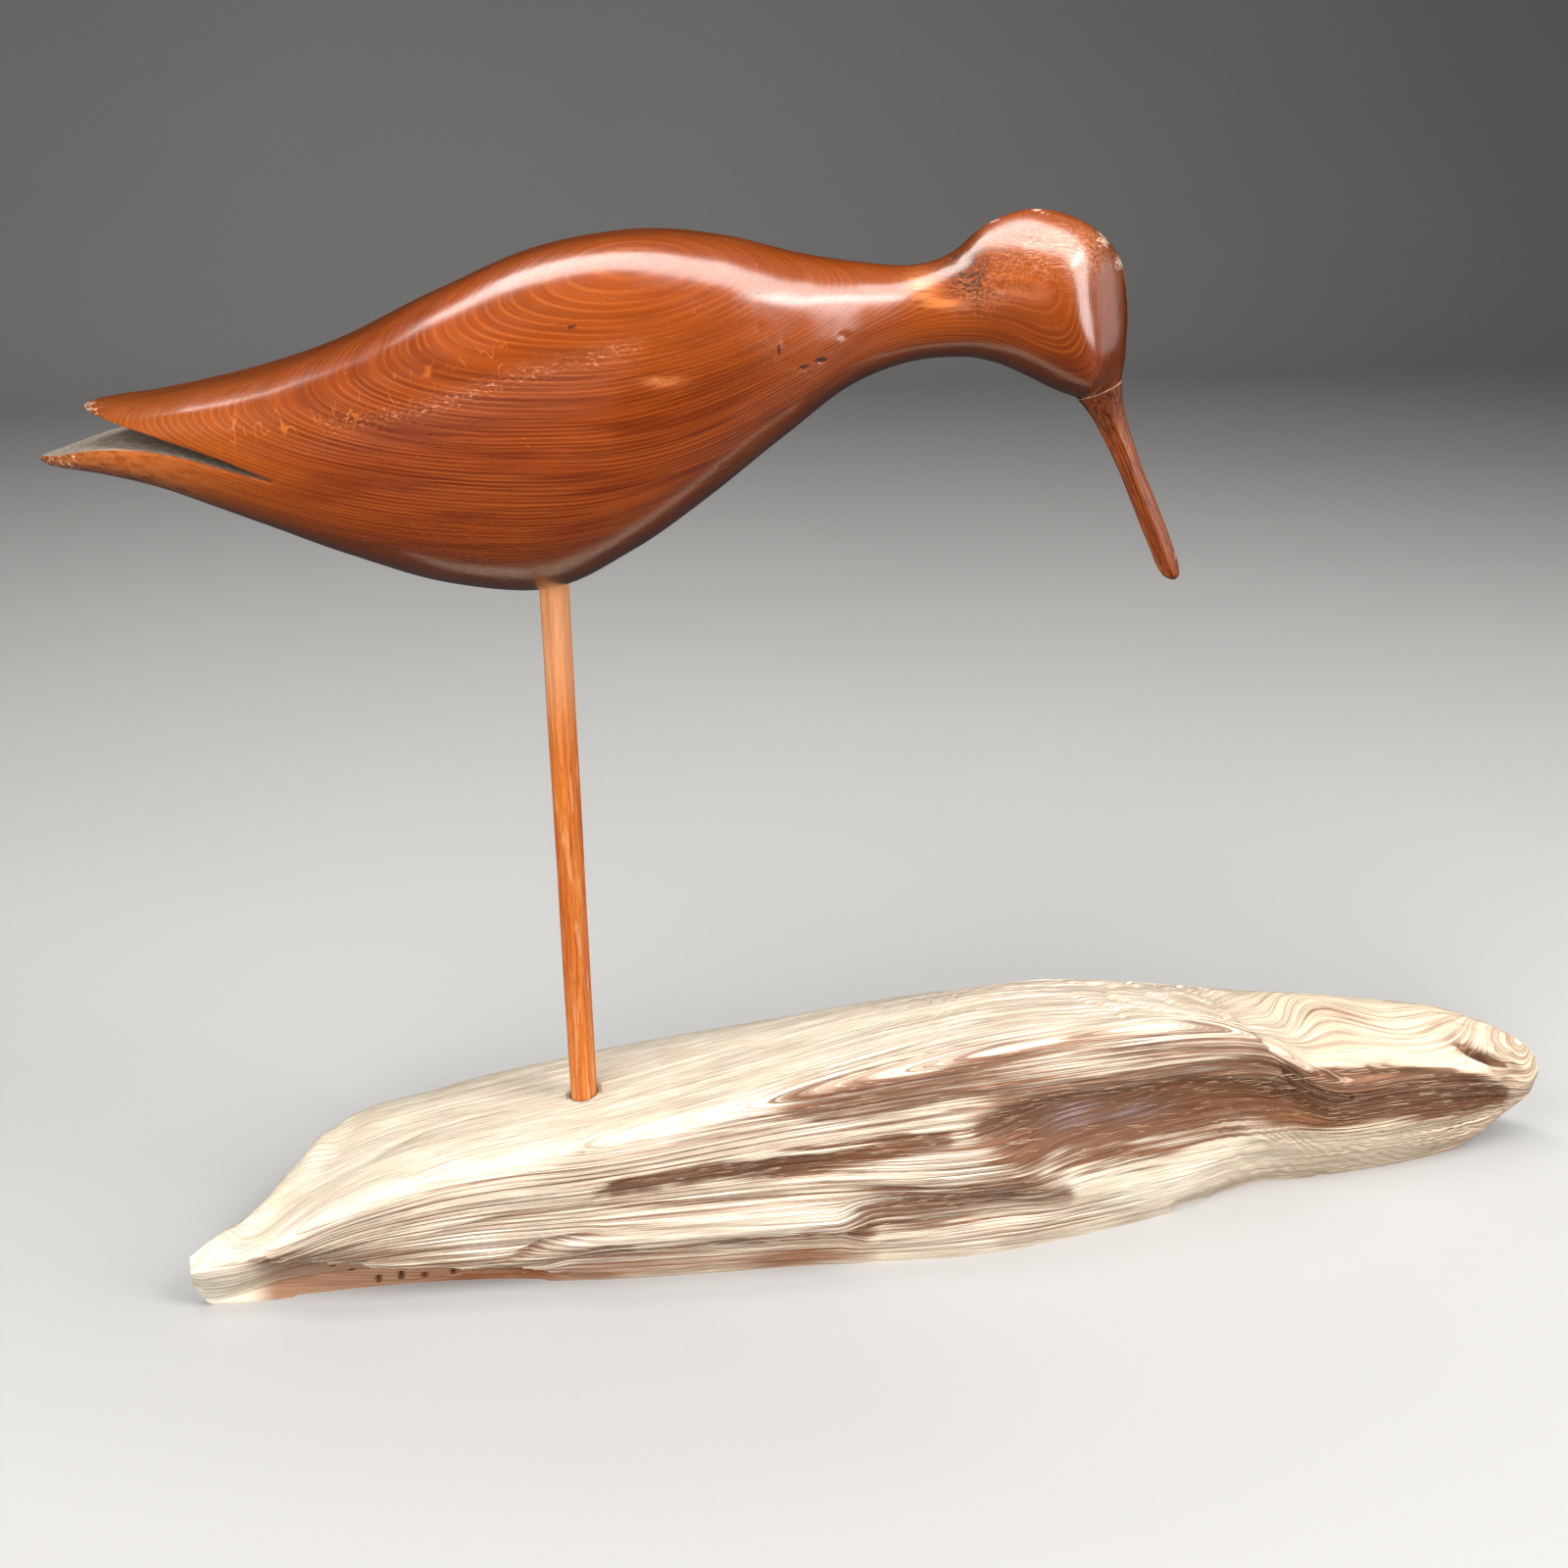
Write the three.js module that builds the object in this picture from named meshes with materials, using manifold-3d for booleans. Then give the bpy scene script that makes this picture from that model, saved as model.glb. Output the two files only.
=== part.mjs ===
// A carved shorebird on one wooden leg, standing in a piece of driftwood.
// Millimetres, +Z up. X runs along the driftwood, the bird's bill towards +X, and its seen side faces -Y.
// The origin is the middle of the driftwood's flat underside.

import * as THREE from "three";
import { mergeVertices } from "three/addons/utils/BufferGeometryUtils.js";
import Module from "manifold-3d";

// Driftwood
const BASE_LENGTH = 602;
const BASE_DEPTH = 120;
const BASE_HEIGHT = 88;
const RELIEF = 1; // how deeply the sea has cut the grooves below, 1 as found
const UNCUT_FOOT = 0.08; // how far up the front the grooves fade out, so that the foot stays whole

// Bird, without its bill
const BIRD_LENGTH = 390;
const BIRD_WIDTH = 100;
const BIRD_HEIGHT = 133;
const BIRD_TURN = THREE.MathUtils.degToRad(-5);

// Leg
const LEG_ACROSS = 11; // over two flats
const LEG_SIDES = 8;
const LEG_SHOWN = 226; // between driftwood and belly
const LEG_IN_BASE = 25;
const LEG_IN_BIRD = 24;
const LEG_X = -139;
const LEG_Y = 6;

// Bill
const BILL_LENGTH = 82;
const BILL_DEPTH = 9.4;
const BILL_WIDTH = 7;
const BILL_SWEEP = THREE.MathUtils.degToRad(3.5); // forward of square to the joint

const CLEARANCE = 0.3; // between pieces that touch

// How finely the solids are divided
const BASE_STEPS = 78;
const FRONT_STEPS = 22;
const TOP_STEPS = 8;
const BACK_STEPS = 4;
const UNDER_STEPS = 2;
const BIRD_STEPS = 50;
const BIRD_SIDES = 28;
const BILL_SIDES = 8;
const SOCKET_SIDES = 24;
const END_CROWDING = 0.35; // how much closer the driftwood's sections lie towards its ends
const OVERCUT = 20; // how far a cutter runs past the surface it starts from
const LOOK = 0.5; // how far to either side the run of a section is looked at
const SHORTEST = 0.001; // the least distance kept between two corners of a section
const SAME_POINT = 1e-4; // points closer than this are one point

// The driftwood's form, one row a station along it, in hundredths of its length, depth and height.
// front: where the front meets the underside. edge: where the front turns into the top.
// shoulder: where the top turns down behind. heel: where the back meets the underside.
// bulge and crown: how far the front and the top swell beyond a straight line, of the depth and height.
const DRIFTWOOD = [
  // along, front y z, edge y z, shoulder y z, heel y, bulge, crown
  [-50.0, -25.0, 11.0, -25.8, 18, -23.3, 25, -22.5, 1, 1],
  [-49.2, -26.0, 1.0, -26.4, 19, -20.0, 27, -18.0, 1, 1],
  [-48.5, -26.3, 0.0, -26.7, 20, -17.0, 28, -13.5, 2, 1],
  [-45.7, -27.5, 0.0, -27.5, 23, -1.0, 29, 4.0, 3, 2],
  [-43.4, -27.7, 0.0, -27.2, 29, 14.5, 37, 20.0, 3, 3],
  [-41.5, -27.9, 0.0, -26.7, 35, 25.0, 41, 30.0, 4, 3],
  [-34.0, -30.0, 0.0, -25.0, 48, 34.2, 49, 43.3, 7, 6],
  [-23.3, -38.8, 0.0, -25.0, 57, 37.5, 58, 50.8, 8, 7],
  [-9.5, -45.4, 0.0, -26.7, 73, 29.2, 74, 48.3, 8, 7],
  [4.2, -51.7, 0.0, -30.0, 89, 16.7, 91, 41.7, 7, 6],
  [12.5, -48.3, 0.0, -31.7, 97, 9.6, 97, 37.5, 5, 3],
  [19.1, -42.9, 0.0, -31.7, 97, 6.3, 93, 33.3, 4, 3],
  [25.8, -34.2, 0.0, -33.3, 82, 2.9, 86, 28.3, 3, 2],
  [30.2, -33.8, 0.0, -36.7, 57, 0.4, 83, 25.0, 3, 3],
  [38.2, -32.1, 0.0, -35.8, 52, -3.3, 75, 16.7, 3, 4],
  [43.5, -28.3, 1.0, -31.7, 45, -7.5, 68, 6.7, 3, 4],
  [47.3, -25.0, 15.0, -28.3, 36, -13.3, 59, -6.7, 2, 3],
  [49.2, -23.8, 25.0, -26.0, 34, -17.5, 51, -14.0, 1, 2],
  [50.0, -22.9, 34.0, -23.3, 38, -20.0, 44, -19.0, 0, 0],
];

// What the sea has worn out of the seen side. Each groove follows a line of [along, height] points, along in
// hundredths of the length, height 0 at the underside, 1 at the front's edge and 2 at the shoulder.
// depth is in hundredths of the driftwood's depth and negative where wood stands proud; above and below say
// how far it reaches from its line; starts and ends say over what part of the length it fades in and out.
const GROOVES = [
  { line: [[-46, 0.7], [-41.4, 0.4], [-37, 0.18], [-26, 0.0]],
    depth: 5.4, above: 0.16, below: 0.6, starts: 6, ends: 5 },
  { line: [[-45, 0.95], [-41.4, 0.7], [-37, 0.45], [-31.7, 0.3], [-24, 0.2]],
    depth: -2.1, above: 0.3, below: 0.16, starts: 4, ends: 8 },
  { line: [[-22.2, 0.79], [-15.8, 0.73], [-10.2, 0.67], [-3.5, 0.64], [3, 0.62]],
    depth: 5.8, above: 0.1, below: 0.2, starts: 1.4, ends: 10 },
  { line: [[-36, 0.6], [-28.8, 0.66], [-23.8, 0.63], [-17.2, 0.54], [-8.5, 0.47], [1, 0.4]],
    depth: 2.5, above: 0.12, below: 0.1, starts: 8, ends: 6 },
  { line: [[-31, 0.44], [-23.8, 0.41], [-17.2, 0.34], [-10.5, 0.26], [-4.6, 0.2]],
    depth: -3.7, above: 0.14, below: 0.14, starts: 10, ends: 1 },
  { line: [[-27, 0.24], [-17.2, 0.15], [-10.5, 0.1], [-7.5, 0.08]],
    depth: 3.3, above: 0.09, below: 0.08, starts: 4, ends: 4 },
  { line: [[-4.8, 0.34], [2, 0.27], [10, 0.2]],
    depth: 4.2, above: 0.13, below: 0.2, starts: 1, ends: 6 },
  { line: [[1.5, 0.66], [5, 0.67], [10.6, 0.6], [15, 0.56], [23.3, 0.58], [30, 0.72], [33, 0.8]],
    depth: 17.5, above: 0.2, below: 0.38, starts: 10, ends: 16 },
  { line: [[27, 0.62], [34.2, 0.52], [38.5, 0.48], [43.2, 0.42], [48, 0.38]],
    depth: 3.7, above: 0.3, below: 0.36, starts: 4, ends: 4 },
];

// Where the top layers break off, a valley that runs across the top and down the front, as a line of
// [height, along] points with its depth, in hundredths of the driftwood's, and its half width along.
const BREAK = {
  line: [[0.7, 29.4], [0.92, 28.2], [1.1, 26.0], [1.5, 25.9], [1.95, 25.4]],
  depth: 2.1,
  width: 1.8,
  starts: [0.6, 0.8],
  ends: [1.85, 1.98],
};

// Hollows at the rounded end: [along, height, reach along, reach in height, depth, slant]
const PITS = [
  [44.9, 1.4, 2.3, 0.14, 6.7, -0.03],
  [47.2, 1.05, 0.9, 0.14, 3.3, 0],
];

// The bird's form, one row a station from tail to bill, in hundredths of its length, height and width.
// Lengths are from the leg and heights from the belly at the leg. square: 2 for an oval section, more for a
// squarer one.
const BIRD = [
  // back along, back height, belly along, belly height, half width, square
  [-40.3, 52.2, -45.1, 37.8, 3.0, 2.2],
  [-39.2, 53.1, -44.1, 36.6, 13.0, 2.3],
  [-37.4, 53.8, -42.3, 36.0, 21.0, 2.4],
  [-34.4, 54.6, -38.7, 34.9, 29.0, 2.5],
  [-30.3, 56.7, -33.3, 31.0, 35.0, 2.6],
  [-24.4, 60.8, -25.6, 22.0, 41.0, 2.6],
  [-17.4, 67.7, -17.4, 12.0, 46.0, 2.6],
  [-9.0, 79.0, -9.0, 3.7, 49.5, 2.6],
  [0.0, 89.4, 0.0, 1.2, 50.0, 2.6],
  [9.0, 93.8, 7.7, 11.3, 49.0, 2.6],
  [16.7, 92.3, 14.9, 25.4, 44.0, 2.5],
  [23.6, 87.7, 21.8, 40.6, 35.0, 2.4],
  [29.5, 85.1, 27.7, 53.0, 25.5, 2.2],
  [34.1, 84.4, 33.3, 59.2, 19.5, 2.1],
  [37.7, 87.6, 38.5, 60.6, 19.5, 2.1],
  [40.8, 95.3, 41.8, 59.0, 22.5, 2.2],
  [44.6, 99.0, 44.9, 55.4, 26.0, 2.4],
  [49.2, 95.6, 47.7, 51.6, 27.5, 2.4],
  [53.1, 86.8, 49.5, 49.7, 26.0, 2.3],
  [54.4, 74.4, 50.2, 49.2, 19.5, 2.2],
  [54.6, 63.2, 50.4, 48.8, 12.0, 2.1],
  [54.3, 53.6, 50.2, 48.6, 6.5, 2.0],
];

// The saw cut that forks the tail, seen from the side: upper face, apex, lower face, as [along, height].
const FORK = [
  [-50.0, 53.3], [-39.2, 51.6], [-36.1, 50.2], [-29.5, 45.6], [-22.6, 36.9],
  [-26.1, 38.8], [-30.8, 42.0], [-35.0, 43.2], [-39.0, 42.4], [-43.0, 39.8], [-50.0, 35.5],
];

// The two flats that a knife left on the face. They would meet ahead of the brow, and run down to the bill.
const FACE_TURN = THREE.MathUtils.degToRad(50); // of each flat from straight ahead
const FACE_RISE = THREE.MathUtils.degToRad(9); // of each flat's outward direction
const FACE_MEETING = [55.8, 72]; // where they would meet, in hundredths of the bird's length and height
const FACE_SOFT = 2.4; // rounding of the ridge behind them, in hundredths of the bird's height

// The bill's form: [along, flare, depth, width], as shares of its length, depth and width. Where the flare
// is 1 the bill is as large as the flat on the head that it is glued to.
const BILL = [
  [0.0, 1, 1, 1], [0.05, 0.68, 1, 1], [0.12, 0.36, 1, 1], [0.2, 0.15, 1, 1], [0.32, 0, 0.97, 1],
  [0.6, 0, 0.93, 0.9], [0.82, 0, 0.92, 0.82], [0.92, 0, 0.82, 0.7], [0.975, 0, 0.58, 0.5], [1, 0, 0.25, 0.25],
];

const smoothstep = THREE.MathUtils.smoothstep;

// A smooth curve through the rows, which lie at the given knots; its slopes are weighted differences.
function through(knots, rows, at) {
  const last = knots.length - 1;
  const slope = (i, k) => {
    const rise = (j) => (rows[j + 1][k] - rows[j][k]) / (knots[j + 1] - knots[j]);
    if (i === 0) return rise(0);
    if (i === last) return rise(last - 1);
    const before = knots[i] - knots[i - 1];
    const after = knots[i + 1] - knots[i];
    return (rise(i - 1) * after + rise(i) * before) / (before + after);
  };
  let i = 0;
  while (i < last - 1 && at >= knots[i + 1]) i += 1;
  const span = knots[i + 1] - knots[i];
  const t = (at - knots[i]) / span;
  const share = t * t * (3 - 2 * t);
  const out = t * (1 - t) * (1 - t) * span;
  const into = t * t * (t - 1) * span;
  return rows[i].map((value, k) => {
    const between = THREE.MathUtils.lerp(value, rows[i + 1][k], share);
    return between + slope(i, k) * out + slope(i + 1, k) * into;
  });
}

// The value of a line of [knot, value] points, straight between them and level beyond its ends.
function onLine(line, at) {
  let i = 0;
  while (i < line.length - 2 && at > line[i + 1][0]) i += 1;
  const [x0, y0] = line[i];
  const [x1, y1] = line[i + 1];
  return y0 + (y1 - y0) * THREE.MathUtils.clamp((at - x0) / (x1 - x0), 0, 1);
}

// How deep the wood is cut away at a place on the seen side.
function cutAt(along, height) {
  let cut = 0;
  for (const groove of GROOVES) {
    const first = groove.line[0][0];
    const final = groove.line[groove.line.length - 1][0];
    const off = height - onLine(groove.line, along);
    const across = 1 - smoothstep(Math.abs(off) / (off > 0 ? groove.above : groove.below), 0, 1);
    const begun = smoothstep(along, first, first + groove.starts);
    const ended = smoothstep(along, final - groove.ends, final);
    cut += groove.depth * across * begun * (1 - ended);
  }
  const fromBreak = Math.abs(along - onLine(BREAK.line, height)) / BREAK.width;
  const onBreak = smoothstep(height, ...BREAK.starts) * (1 - smoothstep(height, ...BREAK.ends));
  cut += BREAK.depth * (1 - smoothstep(fromBreak, 0, 1)) * onBreak;
  for (const [atAlong, atHeight, reach, rise, depth, slant] of PITS) {
    const a = (along - atAlong) / reach;
    const b = (height - atHeight - slant * (along - atAlong)) / rise;
    cut += depth * Math.exp(-a * a - b * b);
  }
  return (cut / 100) * BASE_DEPTH * RELIEF * smoothstep(height, 0, UNCUT_FOOT);
}

// One section across the driftwood: points [y, z] from the front foot over the top and back underneath.
function driftwoodSection(along) {
  const knots = DRIFTWOOD.map((row) => row[0]);
  const row = through(knots, DRIFTWOOD, along);
  const y = (share) => (share / 100) * BASE_DEPTH;
  const z = (share) => (share / 100) * BASE_HEIGHT;
  const foot = new THREE.Vector2(y(row[1]), Math.max(z(row[2]), 0));
  const edge = new THREE.Vector2(y(row[3]), z(row[4]));
  const shoulder = new THREE.Vector2(y(row[5]), z(row[6]));
  const heel = new THREE.Vector2(y(row[7]), foot.y);
  const swell = (a, b, size) => {
    const run = b.clone().sub(a).normalize();
    return a.clone().lerp(b, 0.5).add(new THREE.Vector2(-run.y, run.x).multiplyScalar(size));
  };
  const bulge = y(row[8]);
  const front = swell(foot, edge, bulge);
  const crown = edge.clone().lerp(shoulder, 0.5).add(new THREE.Vector2(0, z(row[9])));
  const back = swell(shoulder, heel, bulge);
  const corners = [foot, front, edge, crown, shoulder, back, heel];
  const reach = [0];
  for (let i = 1; i < corners.length; i += 1) {
    reach.push(reach[i - 1] + Math.max(corners[i].distanceTo(corners[i - 1]), SHORTEST));
  }
  const rows = corners.map((corner) => corner.toArray());
  // height counts 0 to 1 up the front, 1 to 2 over the top and stays 2 behind
  const places = [];
  const stretch = (from, to, steps, height) => {
    for (let i = 0; i < steps; i += 1) {
      places.push([THREE.MathUtils.lerp(from, to, i / steps), height(i / steps)]);
    }
  };
  stretch(0, reach[2], FRONT_STEPS, (share) => share);
  stretch(reach[2], reach[4], TOP_STEPS, (share) => 1 + share);
  stretch(reach[4], reach[6], BACK_STEPS, () => 2);
  places.push([reach[6], 2]);
  const section = places.map(([at, height]) => {
    const [hereY, hereZ] = through(reach, rows, at);
    const [nextY, nextZ] = through(reach, rows, Math.min(at + LOOK, reach[6]));
    const [lastY, lastZ] = through(reach, rows, Math.max(at - LOOK, 0));
    const run = new THREE.Vector2(nextY - lastY, nextZ - lastZ).normalize();
    const cut = height < 2 ? cutAt(along, height) : 0;
    return [hereY + run.y * cut, Math.max(hereZ - run.x * cut, foot.y)];
  });
  for (let i = 1; i < UNDER_STEPS; i += 1) {
    section.push([THREE.MathUtils.lerp(heel.x, foot.x, i / UNDER_STEPS), foot.y]);
  }
  return section;
}

// A closed skin over rings of points, with a fan of triangles over each end.
function skin(rings) {
  const sides = rings[0].length;
  const points = rings.flat();
  const faces = [];
  for (let i = 0; i < rings.length - 1; i += 1) {
    for (let j = 0; j < sides; j += 1) {
      const next = (j + 1) % sides;
      const a = i * sides + j;
      const b = i * sides + next;
      faces.push(a, b, b + sides, a, b + sides, a + sides);
    }
  }
  [0, rings.length - 1].forEach((i) => {
    const middle = points.length;
    const sum = rings[i].reduce((total, p) => total.map((v, k) => v + p[k]), [0, 0, 0]);
    points.push(sum.map((v) => v / sides));
    for (let j = 0; j < sides; j += 1) {
      const a = i * sides + j;
      const b = i * sides + ((j + 1) % sides);
      if (i === 0) faces.push(middle, b, a);
      else faces.push(middle, a, b);
    }
  });
  const geometry = new THREE.BufferGeometry();
  geometry.setAttribute("position", new THREE.Float32BufferAttribute(points.flat(), 3));
  geometry.setIndex(faces);
  return geometry;
}

const wasm = await Module();
wasm.setup();

function toSolid(geometry) {
  const bare = geometry.clone();
  bare.deleteAttribute("normal");
  bare.deleteAttribute("uv");
  const merged = mergeVertices(bare, SAME_POINT);
  const triangles = merged.index.array;
  const whole = [];
  for (let i = 0; i < triangles.length; i += 3) {
    const [a, b, c] = [triangles[i], triangles[i + 1], triangles[i + 2]];
    if (a !== b && b !== c && a !== c) whole.push(a, b, c);
  }
  return new wasm.Manifold(new wasm.Mesh({
    numProp: 3,
    vertProperties: Float32Array.from(merged.attributes.position.array),
    triVerts: Uint32Array.from(whole),
  }));
}

function toGeometry(solid) {
  const mesh = solid.getMesh();
  const geometry = new THREE.BufferGeometry();
  geometry.setAttribute("position", new THREE.Float32BufferAttribute(mesh.vertProperties, 3));
  geometry.setIndex(Array.from(mesh.triVerts));
  return geometry;
}

const legRadius = LEG_ACROSS / 2 / Math.cos(Math.PI / LEG_SIDES);
const socketRadius = legRadius + CLEARANCE;

// A drilled hole, or the rod in it, from one height to another.
function rod(radius, from, to, sides) {
  const geometry = new THREE.CylinderGeometry(radius, radius, to - from, sides);
  geometry.rotateX(Math.PI / 2);
  geometry.rotateZ(Math.PI / sides);
  geometry.translate(0, 0, (from + to) / 2);
  return geometry;
}

// Driftwood

function driftwoodTop(x, y) {
  const section = driftwoodSection((x / BASE_LENGTH) * 100);
  const i = section.findIndex((point, k) => k > FRONT_STEPS && point[0] >= y);
  const [before, after] = [section[i - 1], section[i]];
  return THREE.MathUtils.mapLinear(y, before[0], after[0], before[1], after[1]);
}

const legFoot = driftwoodTop(LEG_X, LEG_Y);

function driftwood() {
  const rings = [];
  for (let i = 0; i <= BASE_STEPS; i += 1) {
    const even = (100 * i) / BASE_STEPS - 50;
    const along = THREE.MathUtils.lerp(even, -50 * Math.cos((Math.PI * i) / BASE_STEPS), END_CROWDING);
    const x = (along / 100) * BASE_LENGTH;
    rings.push(driftwoodSection(along).reverse().map(([y, z]) => [x, y, z]));
  }
  const socket = rod(socketRadius, legFoot - LEG_IN_BASE, legFoot + OVERCUT, SOCKET_SIDES);
  socket.translate(LEG_X, LEG_Y, 0);
  return toGeometry(toSolid(skin(rings)).subtract(toSolid(socket)));
}

// Bird

const birdPlace = new THREE.Matrix4()
  .makeTranslation(LEG_X, LEG_Y, legFoot + LEG_SHOWN)
  .multiply(new THREE.Matrix4().makeRotationZ(BIRD_TURN));

const birdX = (share) => (share / 100) * BIRD_LENGTH;
const birdZ = (share) => (share / 100) * BIRD_HEIGHT;

// Presses a point back behind one face flat, softly, so that a ridge is left where the flat begins.
function planed(point) {
  const side = Math.sign(point.y);
  const out = new THREE.Vector3(1, 0, 0).applyAxisAngle(new THREE.Vector3(0, 1, 0), -FACE_RISE);
  out.applyAxisAngle(new THREE.Vector3(0, 0, 1), side * FACE_TURN);
  const meeting = new THREE.Vector3(birdX(FACE_MEETING[0]), 0, birdZ(FACE_MEETING[1]));
  const beyond = point.clone().sub(meeting).dot(out);
  const soft = birdZ(FACE_SOFT);
  if (side === 0 || beyond < -soft) return point;
  const kept = beyond > soft ? 0 : -((beyond - soft) ** 2) / (4 * soft);
  return point.addScaledVector(out, kept - beyond);
}

function birdRing(at) {
  const row = through(BIRD.map((station, i) => i), BIRD, at);
  const back = new THREE.Vector2(birdX(row[0]), birdZ(row[1]));
  const belly = new THREE.Vector2(birdX(row[2]), birdZ(row[3]));
  const middle = back.clone().lerp(belly, 0.5);
  const half = back.clone().sub(belly).multiplyScalar(0.5);
  const width = (row[4] / 100) * BIRD_WIDTH;
  const power = 2 / row[5];
  const ring = [];
  for (let j = 0; j < BIRD_SIDES; j += 1) {
    const angle = (2 * Math.PI * j) / BIRD_SIDES;
    const up = Math.sign(Math.sin(angle)) * Math.abs(Math.sin(angle)) ** power;
    const out = Math.sign(Math.cos(angle)) * Math.abs(Math.cos(angle)) ** power;
    const point = new THREE.Vector3(middle.x + half.x * up, out * width, middle.y + half.y * up);
    ring.push(planed(point).toArray());
  }
  return ring;
}

function bird() {
  const rings = [];
  for (let i = 0; i <= BIRD_STEPS; i += 1) rings.push(birdRing(((BIRD.length - 1) * i) / BIRD_STEPS));
  const outline = new THREE.Shape(FORK.map(([x, z]) => new THREE.Vector2(birdX(x), birdZ(z))));
  const cut = new THREE.ExtrudeGeometry(outline, { depth: BIRD_WIDTH + OVERCUT, bevelEnabled: false });
  cut.translate(0, 0, -(BIRD_WIDTH + OVERCUT) / 2);
  cut.rotateX(Math.PI / 2);
  const socket = rod(socketRadius, -OVERCUT, LEG_IN_BIRD, SOCKET_SIDES);
  const geometry = toGeometry(toSolid(skin(rings)).subtract(toSolid(cut)).subtract(toSolid(socket)));
  return geometry.applyMatrix4(birdPlace);
}

// Bill: every section of it lies parallel to its joint with the head.

function bill() {
  const [backX, backZ, bellyX, bellyZ, halfWidth] = BIRD[BIRD.length - 1];
  const front = new THREE.Vector2(birdX(backX), birdZ(backZ));
  const rear = new THREE.Vector2(birdX(bellyX), birdZ(bellyZ));
  const along = front.clone().sub(rear).normalize();
  const square = new THREE.Vector2(along.y, -along.x);
  const run = square.clone().rotateAround(new THREE.Vector2(), BILL_SWEEP);
  const joint = front.clone().lerp(rear, 0.5).addScaledVector(square, CLEARANCE);
  const rings = BILL.map(([share, flare, deep, wide]) => {
    const middle = joint.clone().addScaledVector(run, share * BILL_LENGTH);
    const depth = THREE.MathUtils.lerp(BILL_DEPTH * deep, front.distanceTo(rear), flare) / 2;
    const width = THREE.MathUtils.lerp(BILL_WIDTH * wide, 2 * (halfWidth / 100) * BIRD_WIDTH, flare) / 2;
    const ring = [];
    for (let j = 0; j < BILL_SIDES; j += 1) {
      const angle = (2 * Math.PI * j) / BILL_SIDES;
      const point = middle.clone().addScaledVector(along, Math.cos(angle) * depth);
      ring.push([point.x, -Math.sin(angle) * width, point.y]);
    }
    return ring;
  });
  return skin(rings).applyMatrix4(birdPlace);
}

// Leg: its flats were whittled the whole length, and its ends stop short of the sockets' ends.

function leg() {
  const bottom = legFoot - LEG_IN_BASE + CLEARANCE;
  const top = legFoot + LEG_SHOWN + LEG_IN_BIRD - CLEARANCE;
  const geometry = rod(legRadius, bottom, top, LEG_SIDES);
  return geometry.translate(LEG_X, LEG_Y, 0);
}

function piece(name, geometry, color, roughness) {
  const mesh = new THREE.Mesh(geometry, new THREE.MeshStandardMaterial({ color, roughness, metalness: 0 }));
  mesh.name = name;
  return mesh;
}

const decoy = new THREE.Group();
decoy.name = "shorebird_decoy";
decoy.add(piece("driftwood_base", driftwood(), 0xd9c6a3, 0.9));
decoy.add(piece("leg", leg(), 0xb5652b, 0.55));
decoy.add(piece("carved_bird", bird(), 0x7a3a14, 0.35));
decoy.add(piece("bill", bill(), 0x8a4422, 0.4));

export default decoy;
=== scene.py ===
# %% [markdown]
# # A carved shorebird on driftwood
# The decoy is four pieces of wood: a bird cut from one block, a bill glued to its face, one whittled leg
# and a length of sea-worn driftwood. The solid model already says how big each one is and where it sits.
# This lesson gives every piece its finished surface and its wood. Sizes are written in millimetres.

import math

import bpy
import numpy as np
from mathutils import Matrix, Vector


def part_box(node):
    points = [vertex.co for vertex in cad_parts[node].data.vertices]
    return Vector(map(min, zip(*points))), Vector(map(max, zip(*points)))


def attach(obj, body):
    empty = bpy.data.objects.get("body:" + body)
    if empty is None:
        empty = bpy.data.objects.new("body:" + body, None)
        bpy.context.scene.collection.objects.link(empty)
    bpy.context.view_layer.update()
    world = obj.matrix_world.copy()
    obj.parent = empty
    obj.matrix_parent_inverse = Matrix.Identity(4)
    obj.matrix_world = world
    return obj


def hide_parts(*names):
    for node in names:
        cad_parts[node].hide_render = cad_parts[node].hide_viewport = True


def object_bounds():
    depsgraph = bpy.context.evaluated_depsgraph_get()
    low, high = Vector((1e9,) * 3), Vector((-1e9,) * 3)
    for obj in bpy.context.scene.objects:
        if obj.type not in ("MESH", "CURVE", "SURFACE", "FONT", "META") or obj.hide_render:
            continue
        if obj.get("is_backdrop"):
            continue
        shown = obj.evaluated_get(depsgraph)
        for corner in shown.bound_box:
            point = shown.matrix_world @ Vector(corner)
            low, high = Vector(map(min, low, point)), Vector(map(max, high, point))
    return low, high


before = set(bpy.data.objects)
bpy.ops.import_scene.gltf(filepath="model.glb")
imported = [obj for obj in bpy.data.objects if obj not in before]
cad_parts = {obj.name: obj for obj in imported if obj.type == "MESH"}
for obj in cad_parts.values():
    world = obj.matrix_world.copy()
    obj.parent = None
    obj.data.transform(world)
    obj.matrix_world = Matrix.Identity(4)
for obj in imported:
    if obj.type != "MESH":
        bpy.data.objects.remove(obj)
solid_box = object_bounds()
MM = 0.001  # Blender works in metres
print("solid model:", sorted(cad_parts))

# %% [markdown]
# ## The camera
# The picture is taken from a little above, turned slightly to the right of square, with a lens as long as
# the film is wide. The camera comes first, because every later choice is judged through it.

# %% Place the camera
CAMERA_AT = (-0.164, -0.569, 0.444)
CAMERA_DOWN = math.radians(23.1)
CAMERA_RIGHT = math.radians(11.1)
FILM_WIDTH = 36

camera = bpy.data.objects.new("camera", bpy.data.cameras.new("camera"))
camera.data.sensor_width = FILM_WIDTH
camera.data.lens = FILM_WIDTH
camera.data.clip_end = 20
camera.location = CAMERA_AT
camera.rotation_euler = (math.pi / 2 - CAMERA_DOWN, 0, -CAMERA_RIGHT)
bpy.context.scene.collection.objects.link(camera)
bpy.context.scene.camera = camera
print("camera looks down", round(math.degrees(CAMERA_DOWN), 1), "degrees")

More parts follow.
